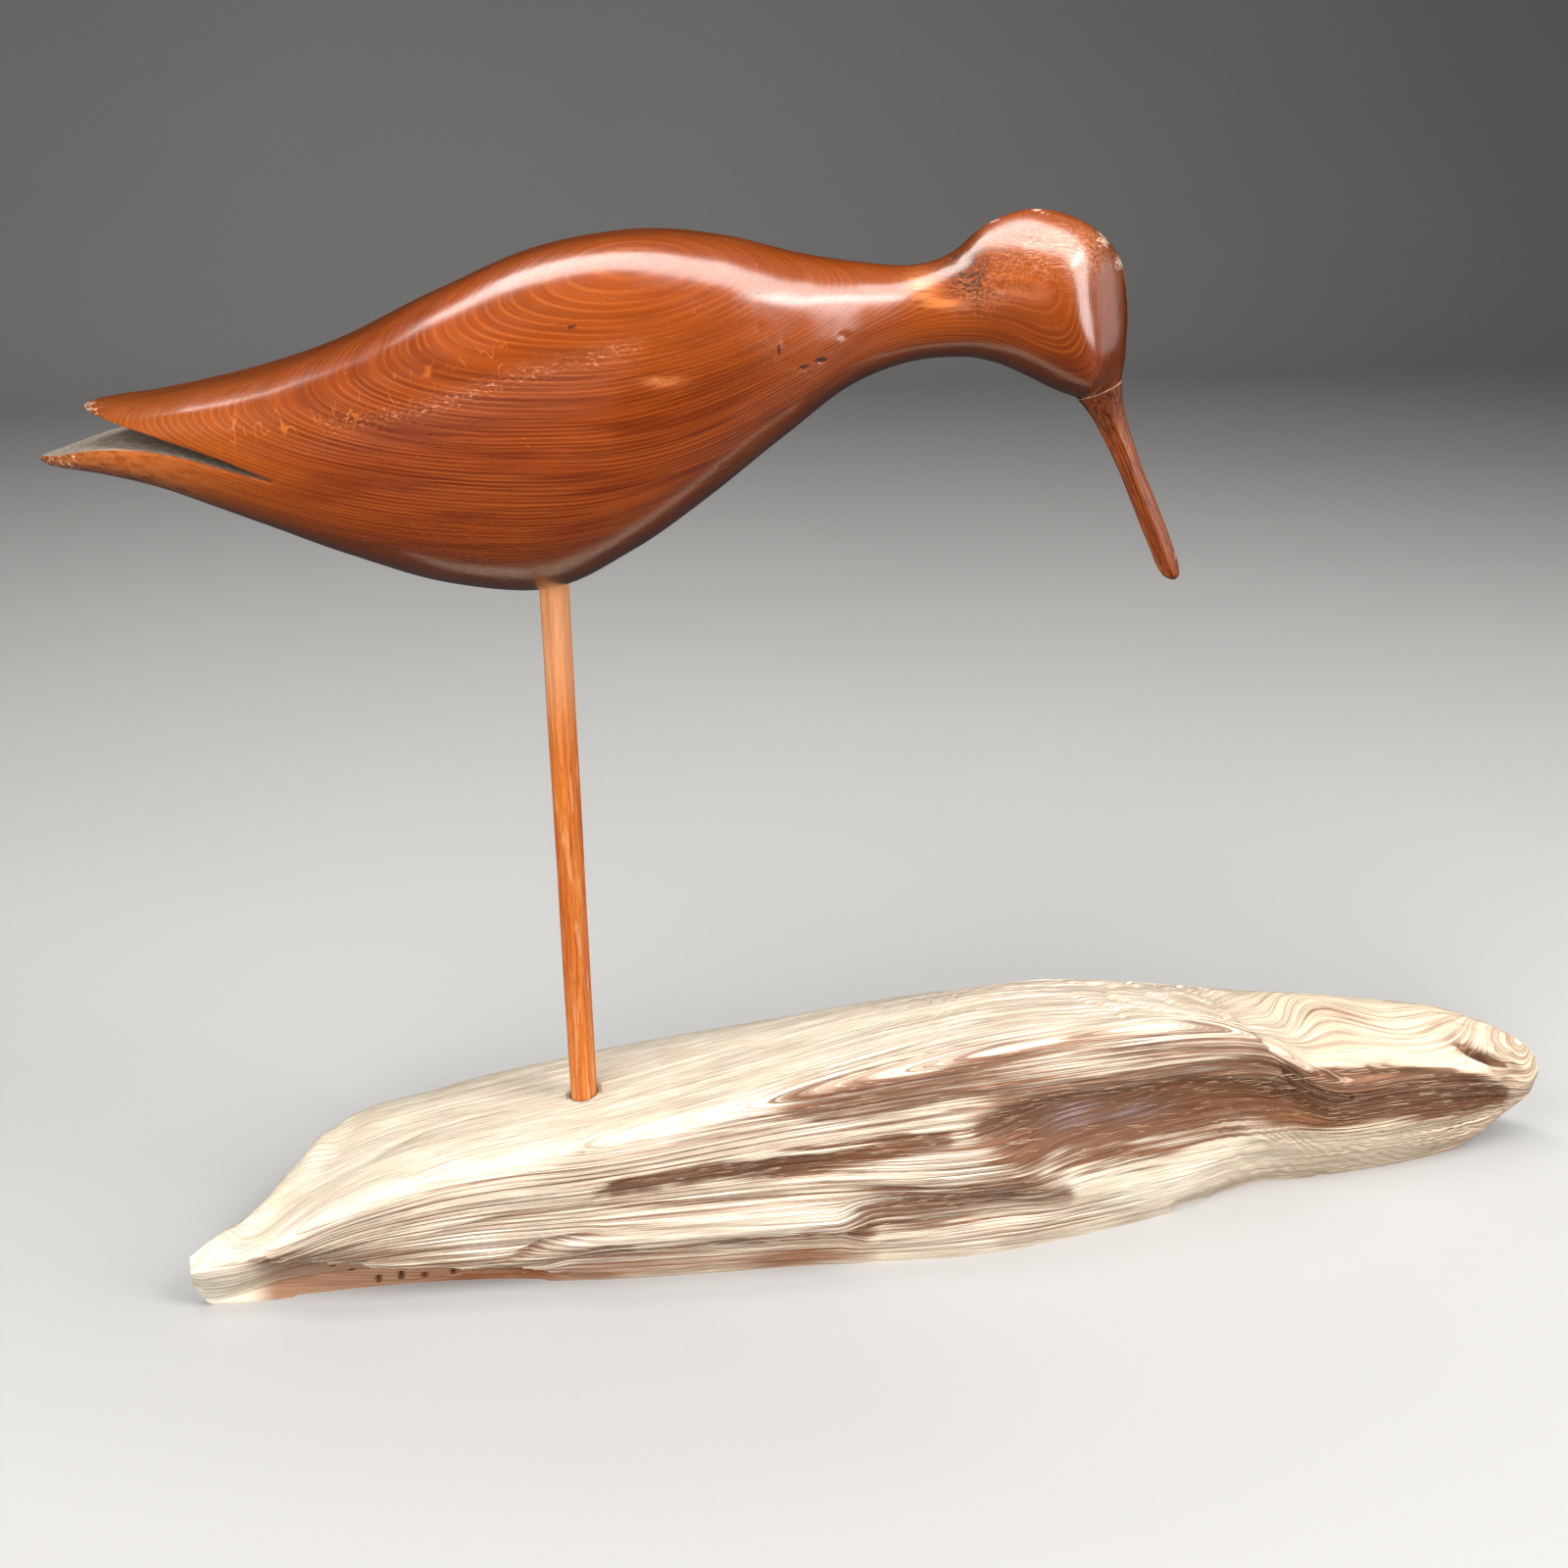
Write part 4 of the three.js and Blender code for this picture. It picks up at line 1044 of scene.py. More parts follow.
joint_back, joint_belly, joint_half_width, _ = (value[0] for value in ovals(np.array([len(OVALS) - 1.0])))
joint_long = np.linalg.norm(joint_back - joint_belly)
up_joint = (joint_back - joint_belly) / joint_long
square_to_joint = np.array([up_joint[1], -up_joint[0]])
sweep_cos, sweep_sin = math.cos(BILL_SWEEP), math.sin(BILL_SWEEP)
bill_way = np.array([[sweep_cos, -sweep_sin], [sweep_sin, sweep_cos]]) @ square_to_joint
joint_middle = (joint_back + joint_belly) / 2 + square_to_joint * 0.05

shares = np.linspace(0, 1, BILL_RINGS + 1) ** 1.15
shares = 1 - (1 - shares) ** 1.2
form = through([r[0] for r in BILL_FORM], BILL_FORM, shares)
angles = np.arange(BILL_SIDES) * math.tau / BILL_SIDES
deep = (BILL_DEPTH * form[:, 2] * (1 - form[:, 1]) + joint_long * form[:, 1]) / 2
wide = (BILL_WIDTH * form[:, 3] * (1 - form[:, 1]) + 2 * joint_half_width * form[:, 1]) / 2
squareness = 2 - 0.72 * eased(shares, 0.03, 0.22) + 0.5 * eased(shares, 0.95, 1)
power = (2 / squareness)[:, None]
up = np.sign(np.cos(angles)) * np.abs(np.cos(angles)) ** power
out = -np.sign(np.sin(angles)) * np.abs(np.sin(angles)) ** power
whittled = 0.14 * drift(shares[:, None] * 9, angles[None, :] * 0.6, 0, 71)
middles = joint_middle + bill_way * (shares * BILL_LENGTH)[:, None]
flat = middles[:, None] + (up * (deep[:, None] + whittled))[..., None] * up_joint
bill_points = np.stack([flat[..., 0], out * (wide[:, None] + whittled), flat[..., 1]], -1)
at_tip = np.exp(-((shares[:, None] - 0.985) / 0.02) ** 2)
chip = 0.9 * at_tip * eased(drift(angles[None, :] * 1.3, 3, 0, 72), -0.2, 0.4)
bill_points -= np.stack([bill_way[0] * chip, 0 * chip, bill_way[1] * chip], -1)
print("the flat for the bill is", round(float(joint_long), 1), "mm tall")

# %% Build the bill
bill_along = np.broadcast_to(shares[:, None], out.shape).ravel()
ends = [bill_points[0].mean(0), bill_points[-1].mean(0)]
bill_points = np.vstack([bill_points.reshape(-1, 3), ends])
last_ring = BILL_RINGS * BILL_SIDES
bill_faces = [ring_faces(BILL_RINGS + 1, BILL_SIDES),
              fan_faces(np.arange(BILL_SIDES), len(bill_points) - 2, False),
              fan_faces(last_ring + np.arange(BILL_SIDES), len(bill_points) - 1, True)]
glue = 1 - eased(bill_along * BILL_LENGTH, GLUE_LINE * 0.7, GLUE_LINE * 1.3)
bill_values = {"glue": np.append(glue, [1, 0]), "down": np.append(bill_along, [0, 1])}
bill = make_piece("bill_spike", bill_points, bill_faces, bill_values, 35)
bill.data.transform(bird_place)
print_size(bill)

# %% [markdown]
# ## Geometry Nodes for the leg
# The leg was whittled from a square stick: eight flats run its whole length, and none of them is quite
# straight. It could be shaped point by point like the bill, but flats that waver follow a rule, so a node
# tree makes them. A cylinder with as many sides as there are flats is pushed about softly along its
# length, and a bevel wears its edges.

# %% Small helpers for node trees
def add_node(tree, kind, inputs=None, **settings):
    """Adds a node, gives it its settings, and fills or links its inputs."""
    node = tree.nodes.new(kind)
    for key, value in settings.items():
        setattr(node, key, value)
    for key, value in (inputs or {}).items():
        if isinstance(value, bpy.types.NodeSocket):
            tree.links.new(value, node.inputs[key])
        else:
            node.inputs[key].default_value = value
    return node


def math_node(tree, operation, a, b=0.0):
    """The result of one sum on two values or sockets."""
    return add_node(tree, "ShaderNodeMath", {0: a, 1: b}, operation=operation).outputs[0]


def times(tree, a, b):
    """One value times another."""
    return math_node(tree, "MULTIPLY", a, b)


def vector_node(tree, operation, a, b):
    """The result of one sum on two vectors."""
    return add_node(tree, "ShaderNodeVectorMath", {0: a, 1: b}, operation=operation).outputs[0]


def vector_of(tree, x, y, z):
    """A vector from its three parts."""
    return add_node(tree, "ShaderNodeCombineXYZ", {0: x, 1: y, 2: z}).outputs[0]


def set_inputs(modifier, values):
    """Sets the named inputs of a Geometry Nodes modifier by their identifiers."""
    for item in modifier.node_group.interface.items_tree:
        if item.item_type == "SOCKET" and item.in_out == "INPUT" and item.name in values:
            modifier[item.identifier] = values[item.name]


def new_tree(name, kind, inputs, outputs):
    """A node tree with named inputs and outputs, and its first and last node."""
    tree = bpy.data.node_groups.new(name, kind)
    for way, sockets in (("INPUT", inputs), ("OUTPUT", outputs)):
        for key, value in sockets.items():
            tree.interface.new_socket(key, in_out=way, socket_type="NodeSocket" + value)
    return tree, tree.nodes.new("NodeGroupInput"), tree.nodes.new("NodeGroupOutput")


def wood_called(name):
    """The material of that name, which may still be blank."""
    return bpy.data.materials.get(name) or bpy.data.materials.new(name)


def ends_in(tree, geometry, given, made):
    """Ends a tree as every tree here does: instances made real, the wood set, the result handed on."""
    real = add_node(tree, "GeometryNodeRealizeInstances", {"Geometry": geometry})
    painted = add_node(tree, "GeometryNodeSetMaterial", {
        "Geometry": real.outputs[0], "Material": given.outputs["Wood"]})
    tree.links.new(painted.outputs[0], made.inputs[0])
    print(tree.name, "has", len(tree.nodes), "nodes")


print("helpers for node trees are ready")


# %% The tree for a whittled rod
rod_tree, given, made = new_tree("whittled rod", "GeometryNodeTree", {
    "Geometry": "Geometry", "Flats": "Int", "Radius": "Float", "Length": "Float", "Unevenness": "Float",
    "Seed": "Float", "Wood": "Material"}, {"Geometry": "Geometry"})
stick = add_node(rod_tree, "GeometryNodeMeshCylinder", {
    "Vertices": given.outputs["Flats"], "Side Segments": 90, "Radius": given.outputs["Radius"],
    "Depth": given.outputs["Length"]})
place = add_node(rod_tree, "GeometryNodeInputPosition")
stretched = vector_node(rod_tree, "MULTIPLY", place.outputs[0], (130.0, 130.0, 26.0))
bumps = add_node(rod_tree, "ShaderNodeTexNoise", {
    "Vector": stretched, "W": given.outputs["Seed"], "Scale": 1.0, "Detail": 1.0}, noise_dimensions="4D")
push = vector_node(rod_tree, "SUBTRACT", bumps.outputs["Color"], (0.5, 0.5, 0.5))
push = vector_node(rod_tree, "MULTIPLY", push, (1.0, 1.0, 0.0))
push = add_node(rod_tree, "ShaderNodeVectorMath", {
    0: push, "Scale": given.outputs["Unevenness"]}, operation="SCALE")
fine = add_node(rod_tree, "GeometryNodeSubdivideMesh", {"Mesh": stick.outputs["Mesh"], "Level": 2})
shaped = add_node(rod_tree, "GeometryNodeSetPosition", {
    "Geometry": fine.outputs[0], "Offset": push.outputs[0]})
ends_in(rod_tree, shaped.outputs[0], given, made)

# %% Make the leg
LEG_UNEVEN = 0.5
LEG_EDGE = 0.35

leg_length = leg_high[2] - leg_low[2]
rod = bpy.data.objects.new("whittled_leg", bpy.data.meshes.new("whittled_leg"))
bpy.context.scene.collection.objects.link(rod)
whittling = rod.modifiers.new("whittled", "NODES")
whittling.node_group = rod_tree
set_inputs(whittling, {
    "Flats": LEG_FLATS, "Radius": leg_radius * MM, "Length": leg_length * MM,
    "Unevenness": LEG_UNEVEN * MM, "Seed": 4.0, "Wood": wood_called("whittled orange wood")})
worn_edge = rod.modifiers.new("worn edges", "BEVEL")
worn_edge.width = LEG_EDGE * MM
worn_edge.segments = 2
worn_edge.limit_method = "ANGLE"
worn_edge.angle_limit = math.radians(28)
baked(rod)
leg_middle = Vector((leg_axis[0] * MM, leg_axis[1] * MM, (leg_low[2] + leg_high[2]) / 2 * MM))
rod.data.transform(Matrix.Translation(leg_middle) @ Matrix.Rotation(math.pi / LEG_FLATS, 4, "Z"))
rod.data.shade_smooth()
rod.data.set_sharp_from_angle(angle=math.radians(24))
print_size(rod)

# %% [markdown]
# ## Geometry Nodes for the slivers
# Where the driftwood is brown, the soft wood has gone and pale slivers of hard wood stand on it, some loose
# at one end. There are hundreds, and they follow two rules: they lie along the grain, and they are thickest
# where the wood is brownest. A node tree strews them by the value that the carving left on the mesh.

# %% The tree for strewn slivers
sliver_tree, given, made = new_tree("strewn slivers", "GeometryNodeTree", {
    "Geometry": "Geometry", "Number a square metre": "Float", "Length": "Float", "Thickness": "Float",
    "Turn": "Float", "Seed": "Int", "Wood": "Material"}, {"Geometry": "Geometry"})
how_brown = add_node(sliver_tree, "GeometryNodeInputNamedAttribute", {"Name": "brown"}, data_type="FLOAT")
fullness = math_node(sliver_tree, "POWER", how_brown.outputs[0], 2.0)
crowd = times(sliver_tree, fullness, given.outputs["Number a square metre"])
seeds = add_node(sliver_tree, "GeometryNodeDistributePointsOnFaces", {
    "Mesh": given.outputs["Geometry"], "Density": crowd, "Seed": given.outputs["Seed"]})
thickness = given.outputs["Thickness"]
size = vector_of(sliver_tree, given.outputs["Length"], thickness, thickness)
spindle = add_node(sliver_tree, "GeometryNodeMeshIcoSphere", {"Radius": 0.5, "Subdivisions": 1})
sliver = add_node(sliver_tree, "GeometryNodeTransform", {"Geometry": spindle.outputs[0], "Scale": size})
some_turn = vector_of(sliver_tree, 0.0, given.outputs["Turn"], given.outputs["Turn"])
turns = add_node(sliver_tree, "FunctionNodeRandomValue", {
    0: vector_node(sliver_tree, "MULTIPLY", some_turn, (-1.0, -1.0, -1.0)), 1: some_turn,
    "Seed": given.outputs["Seed"]}, data_type="FLOAT_VECTOR")
sizes = add_node(sliver_tree, "FunctionNodeRandomValue", {
    0: (0.35, 0.6, 0.6), 1: (1.6, 1.4, 1.4), "Seed": given.outputs["Seed"]}, data_type="FLOAT_VECTOR")
strewn = add_node(sliver_tree, "GeometryNodeInstanceOnPoints", {
    "Points": seeds.outputs[0], "Instance": sliver.outputs[0], "Rotation": turns.outputs[0],
    "Scale": sizes.outputs[0]})
marked = add_node(sliver_tree, "GeometryNodeStoreNamedAttribute", {
    "Geometry": strewn.outputs[0], "Name": "sliver", "Value": 1.0}, data_type="FLOAT", domain="INSTANCE")
both = add_node(sliver_tree, "GeometryNodeJoinGeometry")
sliver_tree.links.new(marked.outputs[0], both.inputs[0])
sliver_tree.links.new(given.outputs["Geometry"], both.inputs[0])
ends_in(sliver_tree, both.outputs[0], given, made)

# %% Strew the slivers
SLIVERS_A_SQUARE_METRE = 20000.0
SLIVER_LENGTH = 11
SLIVER_THICKNESS = 0.24
SLIVER_TURN = math.radians(1.5)

strewing = driftwood.modifiers.new("slivers", "NODES")
strewing.node_group = sliver_tree
set_inputs(strewing, {"Number a square metre": SLIVERS_A_SQUARE_METRE, "Length": SLIVER_LENGTH * MM,
                      "Thickness": SLIVER_THICKNESS * MM, "Turn": SLIVER_TURN, "Seed": 5,
                      "Wood": wood_called("bleached driftwood")})
baked(driftwood)
print_size(driftwood)

# %% [markdown]
# ## Dark holes
# The walls of the worm holes are painted as dark as the deepest groove, as painted shade inside the holes.
# The holes' ways are known, so every point on their walls is found by its distance from the axis and gets
# full values for brown and for valleys. It is done after the strewing, so that no sliver grows in a hole.

# %% Paint shade in the worm holes
DARKEST = 2.0


def paint_shade_in_bores(piece, holes, masks):
    """Raises kept masks on the walls of bored holes, which paints shade inside them."""
    points = np.array([corner.co for corner in piece.data.vertices]) / MM
    marked = 0
    for start, end, radius in holes:
        length = np.linalg.norm(end - start)
        reach = (points - start) @ (end - start) / length
        off_axis = np.linalg.norm(points - start - reach[:, None] * (end - start) / length, axis=1)
        on_wall = np.nonzero((off_axis < 1.05 * radius) & (reach > 0) & (reach < length + 0.1))[0]
        marked += len(on_wall)
        for mask in masks:
            for number in on_wall:
                piece.data.attributes[mask].data[int(number)].value = DARKEST
    return marked


print("dark points in the worm holes:", paint_shade_in_bores(driftwood, worm_ways, ("brown", "valley")))

# %% [markdown]
# ## Wood in shader nodes
# All four pieces are wood, so two effects are built once, each as a node group. The first draws streaks
# along the grain, on every piece: noise that is stretched a long way in one direction. The second draws
# worn spots on the bird, the leg and the bill: noise that only shows where a piece says it is handled. It
# could all be drawn anew in each material, but then no change would reach the others. Colours are given
# as on a paint chart, 0 to 255.

# %% Colours, noise and steps
def paint(red, green, blue):
    """A colour from a paint chart, as the shader wants it."""
    parts = [part / 255 for part in (red, green, blue)]
    return tuple(p / 12.92 if p <= 0.04045 else ((p + 0.055) / 1.055) ** 2.4 for p in parts) + (1.0,)


def noise(tree, place, sizes, detail=2.0, roughness=0.5):
    """Soft random values around one half, in blotches of the sizes along, sideways and upwards."""
    stretched = vector_node(tree, "DIVIDE", place, sizes)
    node = add_node(tree, "ShaderNodeTexNoise", {
        "Vector": stretched, "Scale": 1.0, "Detail": detail, "Roughness": roughness})
    return node.outputs[0]


def stepped(tree, value, start, end, low=0.0, high=1.0):
    """A soft step from low to high."""
    node = add_node(tree, "ShaderNodeMapRange", {
        "Value": value, "From Min": start, "From Max": end, "To Min": low, "To Max": high},
        interpolation_type="SMOOTHSTEP")
    return node.outputs[0]


def mixed(tree, share, under, over):
    """One colour laid over another; share is how much of it shows."""
    return add_node(tree, "ShaderNodeMix", {"Factor": share, 6: under, 7: over}, data_type="RGBA").outputs[2]


def layered(tree, colour, layers):
    """Lays paints over a colour one by one, each given as (where, how much of it shows, paint)."""
    for where, share, over in layers:
        colour = mixed(tree, times(tree, where, share), colour, paint(*over))
    return colour


print("middle grey on the chart is", round(paint(128, 128, 128)[0], 3), "to the shader")


# %% Materials and how a piece gets one
def kept(tree, name):
    """A value that was kept on the mesh."""
    return add_node(tree, "ShaderNodeAttribute", attribute_name=name).outputs["Fac"]


def place_in(tree, frame_matrix):
    """The place in millimetres, in a frame that lies with the piece's own grain, and its three parts."""
    own = add_node(tree, "ShaderNodeTexCoord").outputs["Object"]
    turned = add_node(tree, "ShaderNodeMapping", {
        "Vector": own, "Location": frame_matrix.to_translation(), "Rotation": frame_matrix.to_euler(),
        "Scale": (MM, MM, MM)}, vector_type="TEXTURE").outputs[0]
    return turned, *add_node(tree, "ShaderNodeSeparateXYZ", {0: turned}).outputs


def new_material(name):
    """A material with a fresh tree, and its shader."""
    material = wood_called(name)
    material.use_nodes = True
    return material, material.node_tree, material.node_tree.nodes["Principled BSDF"]


def finish_with(tree, shader, colour, roughness, relief, depth):
    """Gives a shader its colour, its roughness and a relief that stands out by up to depth millimetres."""
    tree.links.new(colour, shader.inputs["Base Color"])
    tree.links.new(roughness, shader.inputs["Roughness"])
    bump = add_node(tree, "ShaderNodeBump", {"Height": relief, "Strength": 1.0, "Distance": depth * MM})
    tree.links.new(bump.outputs[0], shader.inputs["Normal"])


def seat(piece, node, material):
    """Gives a finished piece its material and lets it stand for its solid."""
    piece.data.materials.clear()
    piece.data.materials.append(material)
    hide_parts(node)
    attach(piece, "root")
    print_size(piece)


print("a finished piece takes its material, its solid's place and its slot in one step")


# %% The shared effects
streaks_group, given, made = new_tree("streaks along the grain", "ShaderNodeTree", {
    "Place": "Vector", "Long": "Float", "Across": "Float", "From": "Float", "To": "Float"},
    {"Streaks": "Float"})
size = vector_of(streaks_group, given.outputs["Long"], given.outputs["Across"], given.outputs["Across"])
grain = noise(streaks_group, given.outputs["Place"], size, 2.0, 0.55)
lines = stepped(streaks_group, grain, given.outputs["From"], given.outputs["To"])
streaks_group.links.new(lines, made.inputs[0])

spots_group, given, made = new_tree("worn spots", "ShaderNodeTree", {
    "Place": "Vector", "Long": "Float", "Across": "Float", "Where": "Float", "Reach": "Float"},
    {"Spots": "Float"})
size = vector_of(spots_group, given.outputs["Long"], given.outputs["Across"], given.outputs["Across"])
broken = noise(spots_group, given.outputs["Place"], size, 4.0, 0.65)
pushed = times(spots_group, given.outputs["Where"], given.outputs["Reach"])
pushed = math_node(spots_group, "ADD", broken, pushed)
spots_group.links.new(stepped(spots_group, pushed, 0.72, 0.78), made.inputs[0])


def streaks(tree, place, long, across, start, end):
    """Streaks of a length and a width in millimetres, cut off softly between start and end."""
    return add_node(tree, "ShaderNodeGroup", {
        "Place": place, "Long": long, "Across": across, "From": start, "To": end},
        node_tree=streaks_group).outputs[0]


def worn_spots(tree, place, long, across, where, reach):
    """Broken spots that show where a value says so."""
    return add_node(tree, "ShaderNodeGroup", {
        "Place": place, "Long": long, "Across": across, "Where": where, "Reach": reach},
        node_tree=spots_group).outputs[0]


print("shared effects:", streaks_group.name, "and", spots_group.name)

# %% [markdown]
# ## The bird's wood and varnish
# The block was stained a red mahogany brown and varnished to a satin. Its growth rings are nearly flat
# sheets that lean towards the near side, and in the head they turn upright. Where the carved skin runs
# along a sheet they open into wide ovals, and where it cuts across them, as on the face, they crowd into
# fine stripes. So the rings are worked out in space, from one distance through the block, and never
# painted on the skin.

# %% Rings through the block
RINGS_IN_BODY = (-0.6, 0.8)  # how fast the rings are crossed sideways and upwards
RINGS_IN_HEAD = (-1.0, 0.12)
NECK = (110.0, 185.0)  # where along the bird the one turns into the other
NECK_HEIGHT = 97.0
RING_SAG = 0.0008
RING_WIDTH = 1.15

bird_wood, tree, shader = new_material("stained and varnished wood")
place, along, sideways, height = place_in(tree, bird_place)
lean_out, lean_up = (stepped(tree, along, *NECK, *lean) for lean in zip(RINGS_IN_BODY, RINGS_IN_HEAD))
above_neck = math_node(tree, "SUBTRACT", height, NECK_HEIGHT)
through_block = math_node(tree, "ADD", times(tree, sideways, lean_out), times(tree, above_neck, lean_up))
sag = times(tree, times(tree, along, along), RING_SAG)
ring_place = math_node(tree, "SUBTRACT", through_block, sag)
wander = times(tree, noise(tree, place, (130.0, 45.0, 45.0), 1.0), 5.0)
ring_place = math_node(tree, "ADD", ring_place, wander)
uneven = add_node(tree, "ShaderNodeTexNoise", {
    "W": ring_place, "Scale": 0.35, "Detail": 1.0}, noise_dimensions="1D").outputs[0]
ring_place = math_node(tree, "ADD", ring_place, uneven)
ring_wave = math_node(tree, "SINE", times(tree, ring_place, math.tau / RING_WIDTH))
clear_rings = stepped(tree, noise(tree, place, (45.0, 12.0, 12.0)), 0.36, 0.6)
ring_line = times(tree, stepped(tree, ring_wave, 0.35, 0.98), clear_rings)
ring_vector = vector_of(tree, along, ring_place, 0.0)
broad_bands = streaks(tree, ring_vector, 85.0, 3.6, 0.34, 0.66)
fine_bands = streaks(tree, ring_vector, 40.0, 0.8, 0.38, 0.66)
pores = streaks(tree, place, 4.5, 0.33, 0.63, 0.72)
blotches = stepped(tree, noise(tree, place, (38.0, 24.0, 24.0), 3.0), 0.35, 0.65)
print("a ring every", RING_WIDTH, "mm")

# %% Stain, wear, painted light and shade, and varnish
normal = add_node(tree, "ShaderNodeNewGeometry").outputs["Normal"]
facing = add_node(tree, "ShaderNodeVectorMath", {
    0: normal, 1: (math.cos(BIRD_TURN), math.sin(BIRD_TURN), 0.0)}, operation="DOT_PRODUCT").outputs["Value"]
end_grain = stepped(tree, math_node(tree, "ABSOLUTE", facing), 0.3, 0.85)
cut_rings = times(tree, stepped(tree, ring_wave, 0.2, -0.8), end_grain)
upwards = add_node(tree, "ShaderNodeSeparateXYZ", {0: normal}).outputs[2]
curls = math_node(tree, "SUBTRACT", noise(tree, place, (5.0, 9.0, 12.0), 1.0), 0.5)
curls = stepped(tree, math_node(tree, "ABSOLUTE", curls), 0.022, 0.004)
curls = times(tree, curls, kept(tree, "flecked"))
curls = times(tree, curls, stepped(tree, noise(tree, place, (8.0, 8.0, 8.0), 1.0), 0.45, 0.6))
scuffed = kept(tree, "scuffed")
scuffs = worn_spots(tree, place, 2.4, 0.9, scuffed, 0.17)
scratched = kept(tree, "scratched")
crossways = vector_of(tree, height, along, sideways)
dusty = kept(tree, "dusty")

wood = mixed(tree, broad_bands, paint(91, 28, 3), paint(120, 46, 4))
wood = layered(tree, wood, [
    (blotches, 0.45, (92, 30, 4)),
    # darker towards the belly: painted shade, partly a darker stain low down
    (stepped(tree, height, 62.0, 8.0), 0.5, (98, 34, 8)),
    # painted light: lighter towards the back
    (stepped(tree, height, 62.0, 112.0), 0.45, (162, 76, 15)),
    # lighter towards the tail: partly a lighter tan, partly a painted sheen
    (stepped(tree, along, -50.0, -130.0), 0.5, (158, 84, 30)),
    (end_grain, 0.55, (86, 38, 16)),
    (fine_bands, 0.3, (168, 78, 20)),
    (ring_line, 0.27, (198, 104, 38)),
    (cut_rings, 0.5, (48, 22, 12)),
    (pores, 0.55, (58, 22, 12)),
    # painted shade: faces that turn downwards are darkened
    (stepped(tree, upwards, -0.3, -0.95), 0.7, (46, 18, 8)),
    # painted shade on the low belly, partly a darker stain
    (kept(tree, "belly_shade_and_stain"), 0.6, (72, 30, 16)),
    (curls, 0.55, (206, 112, 40)),
    (times(tree, kept(tree, "dirty"), streaks(tree, place, 5.0, 1.2, 0.42, 0.56)), 0.8, (44, 30, 26)),
    (times(tree, scuffed, streaks(tree, place, 2.6, 0.4, 0.5, 0.62)), 0.25, (198, 132, 84)),
    (scuffs, 0.4, (204, 146, 102)),
    (stepped(tree, kept(tree, "cracked"), 0.35, 0.7), 0.85, (40, 18, 12)),
    (times(tree, scratched, streaks(tree, place, 11.0, 0.42, 0.54, 0.62)), 0.6, (226, 166, 132)),
    (times(tree, scratched, streaks(tree, crossways, 9.0, 0.4, 0.56, 0.63)), 0.5, (226, 166, 132)),
    # bared wood, and on the lower blade partly a painted reflection
    (times(tree, kept(tree, "bared_and_blade_sheen"), streaks(tree, place, 16.0, 1.8, 0.3, 0.6)), 0.8, (226, 138, 78)),
    (worn_spots(tree, place, 3.0, 1.4, kept(tree, "rubbed"), 0.34), 0.8, (232, 200, 172)),
])
lint = streaks(tree, vector_node(tree, "ADD", place, (0.0, 0.0, 40.0)), 5.0, 0.5, 0.5, 0.62)
dust = mixed(tree, lint, paint(146, 142, 128), paint(222, 218, 204))
wood = mixed(tree, times(tree, dusty, 0.75), wood, dust)

gloss = stepped(tree, noise(tree, place, (14.0, 5.0, 5.0), 3.0), 0.3, 0.7, 0.19, 0.26)
gloss = math_node(tree, "ADD", gloss, times(tree, scuffs, 0.3))
gloss = math_node(tree, "MINIMUM", math_node(tree, "ADD", gloss, times(tree, dusty, 0.5)), 1.0)
shader.inputs["IOR"].default_value = 1.5
shader.inputs["Specular IOR Level"].default_value = 0.85
shader.inputs["Coat Weight"].default_value = 0.6
shader.inputs["Coat Roughness"].default_value = 0.16
grain_relief = math_node(tree, "SUBTRACT", times(tree, fine_bands, 0.25), pores)
grain_relief = math_node(tree, "SUBTRACT", grain_relief, times(tree, scuffs, 1.2))
grain_relief = math_node(tree, "SUBTRACT", grain_relief, times(tree, cut_rings, 0.5))
finish_with(tree, shader, wood, gloss, grain_relief, 0.03)
seat(bird, "carved_bird", bird_wood)

# %% [markdown]
# ## The leg's wood
# The leg has the colour of old pine under a worn stain. It is palest where hands have held it and the stain
# has rubbed off, and its grain runs up and down. Streaks of its own could be built upright, but it is
# shorter to turn the place with the leg, so that the shared ones run along it.

# %% Stain the leg
upright = Matrix.Translation(leg_middle) @ Matrix.Rotation(-math.pi / 2, 4, "Y")
leg_wood, tree, shader = new_material("whittled orange wood")
place, up_the_leg, _, _ = place_in(tree, upright)
bands = streaks(tree, place, 70.0, 1.9, 0.36, 0.64)
fine = streaks(tree, place, 22.0, 0.45, 0.4, 0.64)
dark_lines = streaks(tree, place, 9.0, 0.28, 0.6, 0.7)
wood = mixed(tree, bands, paint(170, 78, 17), paint(196, 108, 34))
wood = layered(tree, wood, [
    (fine, 0.3, (220, 150, 92)),
    (dark_lines, 0.6, (112, 52, 22)),
    (stepped(tree, up_the_leg, 40.0, 90.0), 0.45, (226, 172, 130)),
    (worn_spots(tree, place, 26.0, 1.6, 1.0, 0.16), 0.3, (232, 182, 138)),
])
gloss = math_node(tree, "ADD", times(tree, fine, 0.15), 0.45)
knife_marks = math_node(tree, "SUBTRACT", times(tree, fine, 0.5), dark_lines)
finish_with(tree, shader, wood, gloss, knife_marks, 0.06)
seat(rod, "leg", leg_wood)
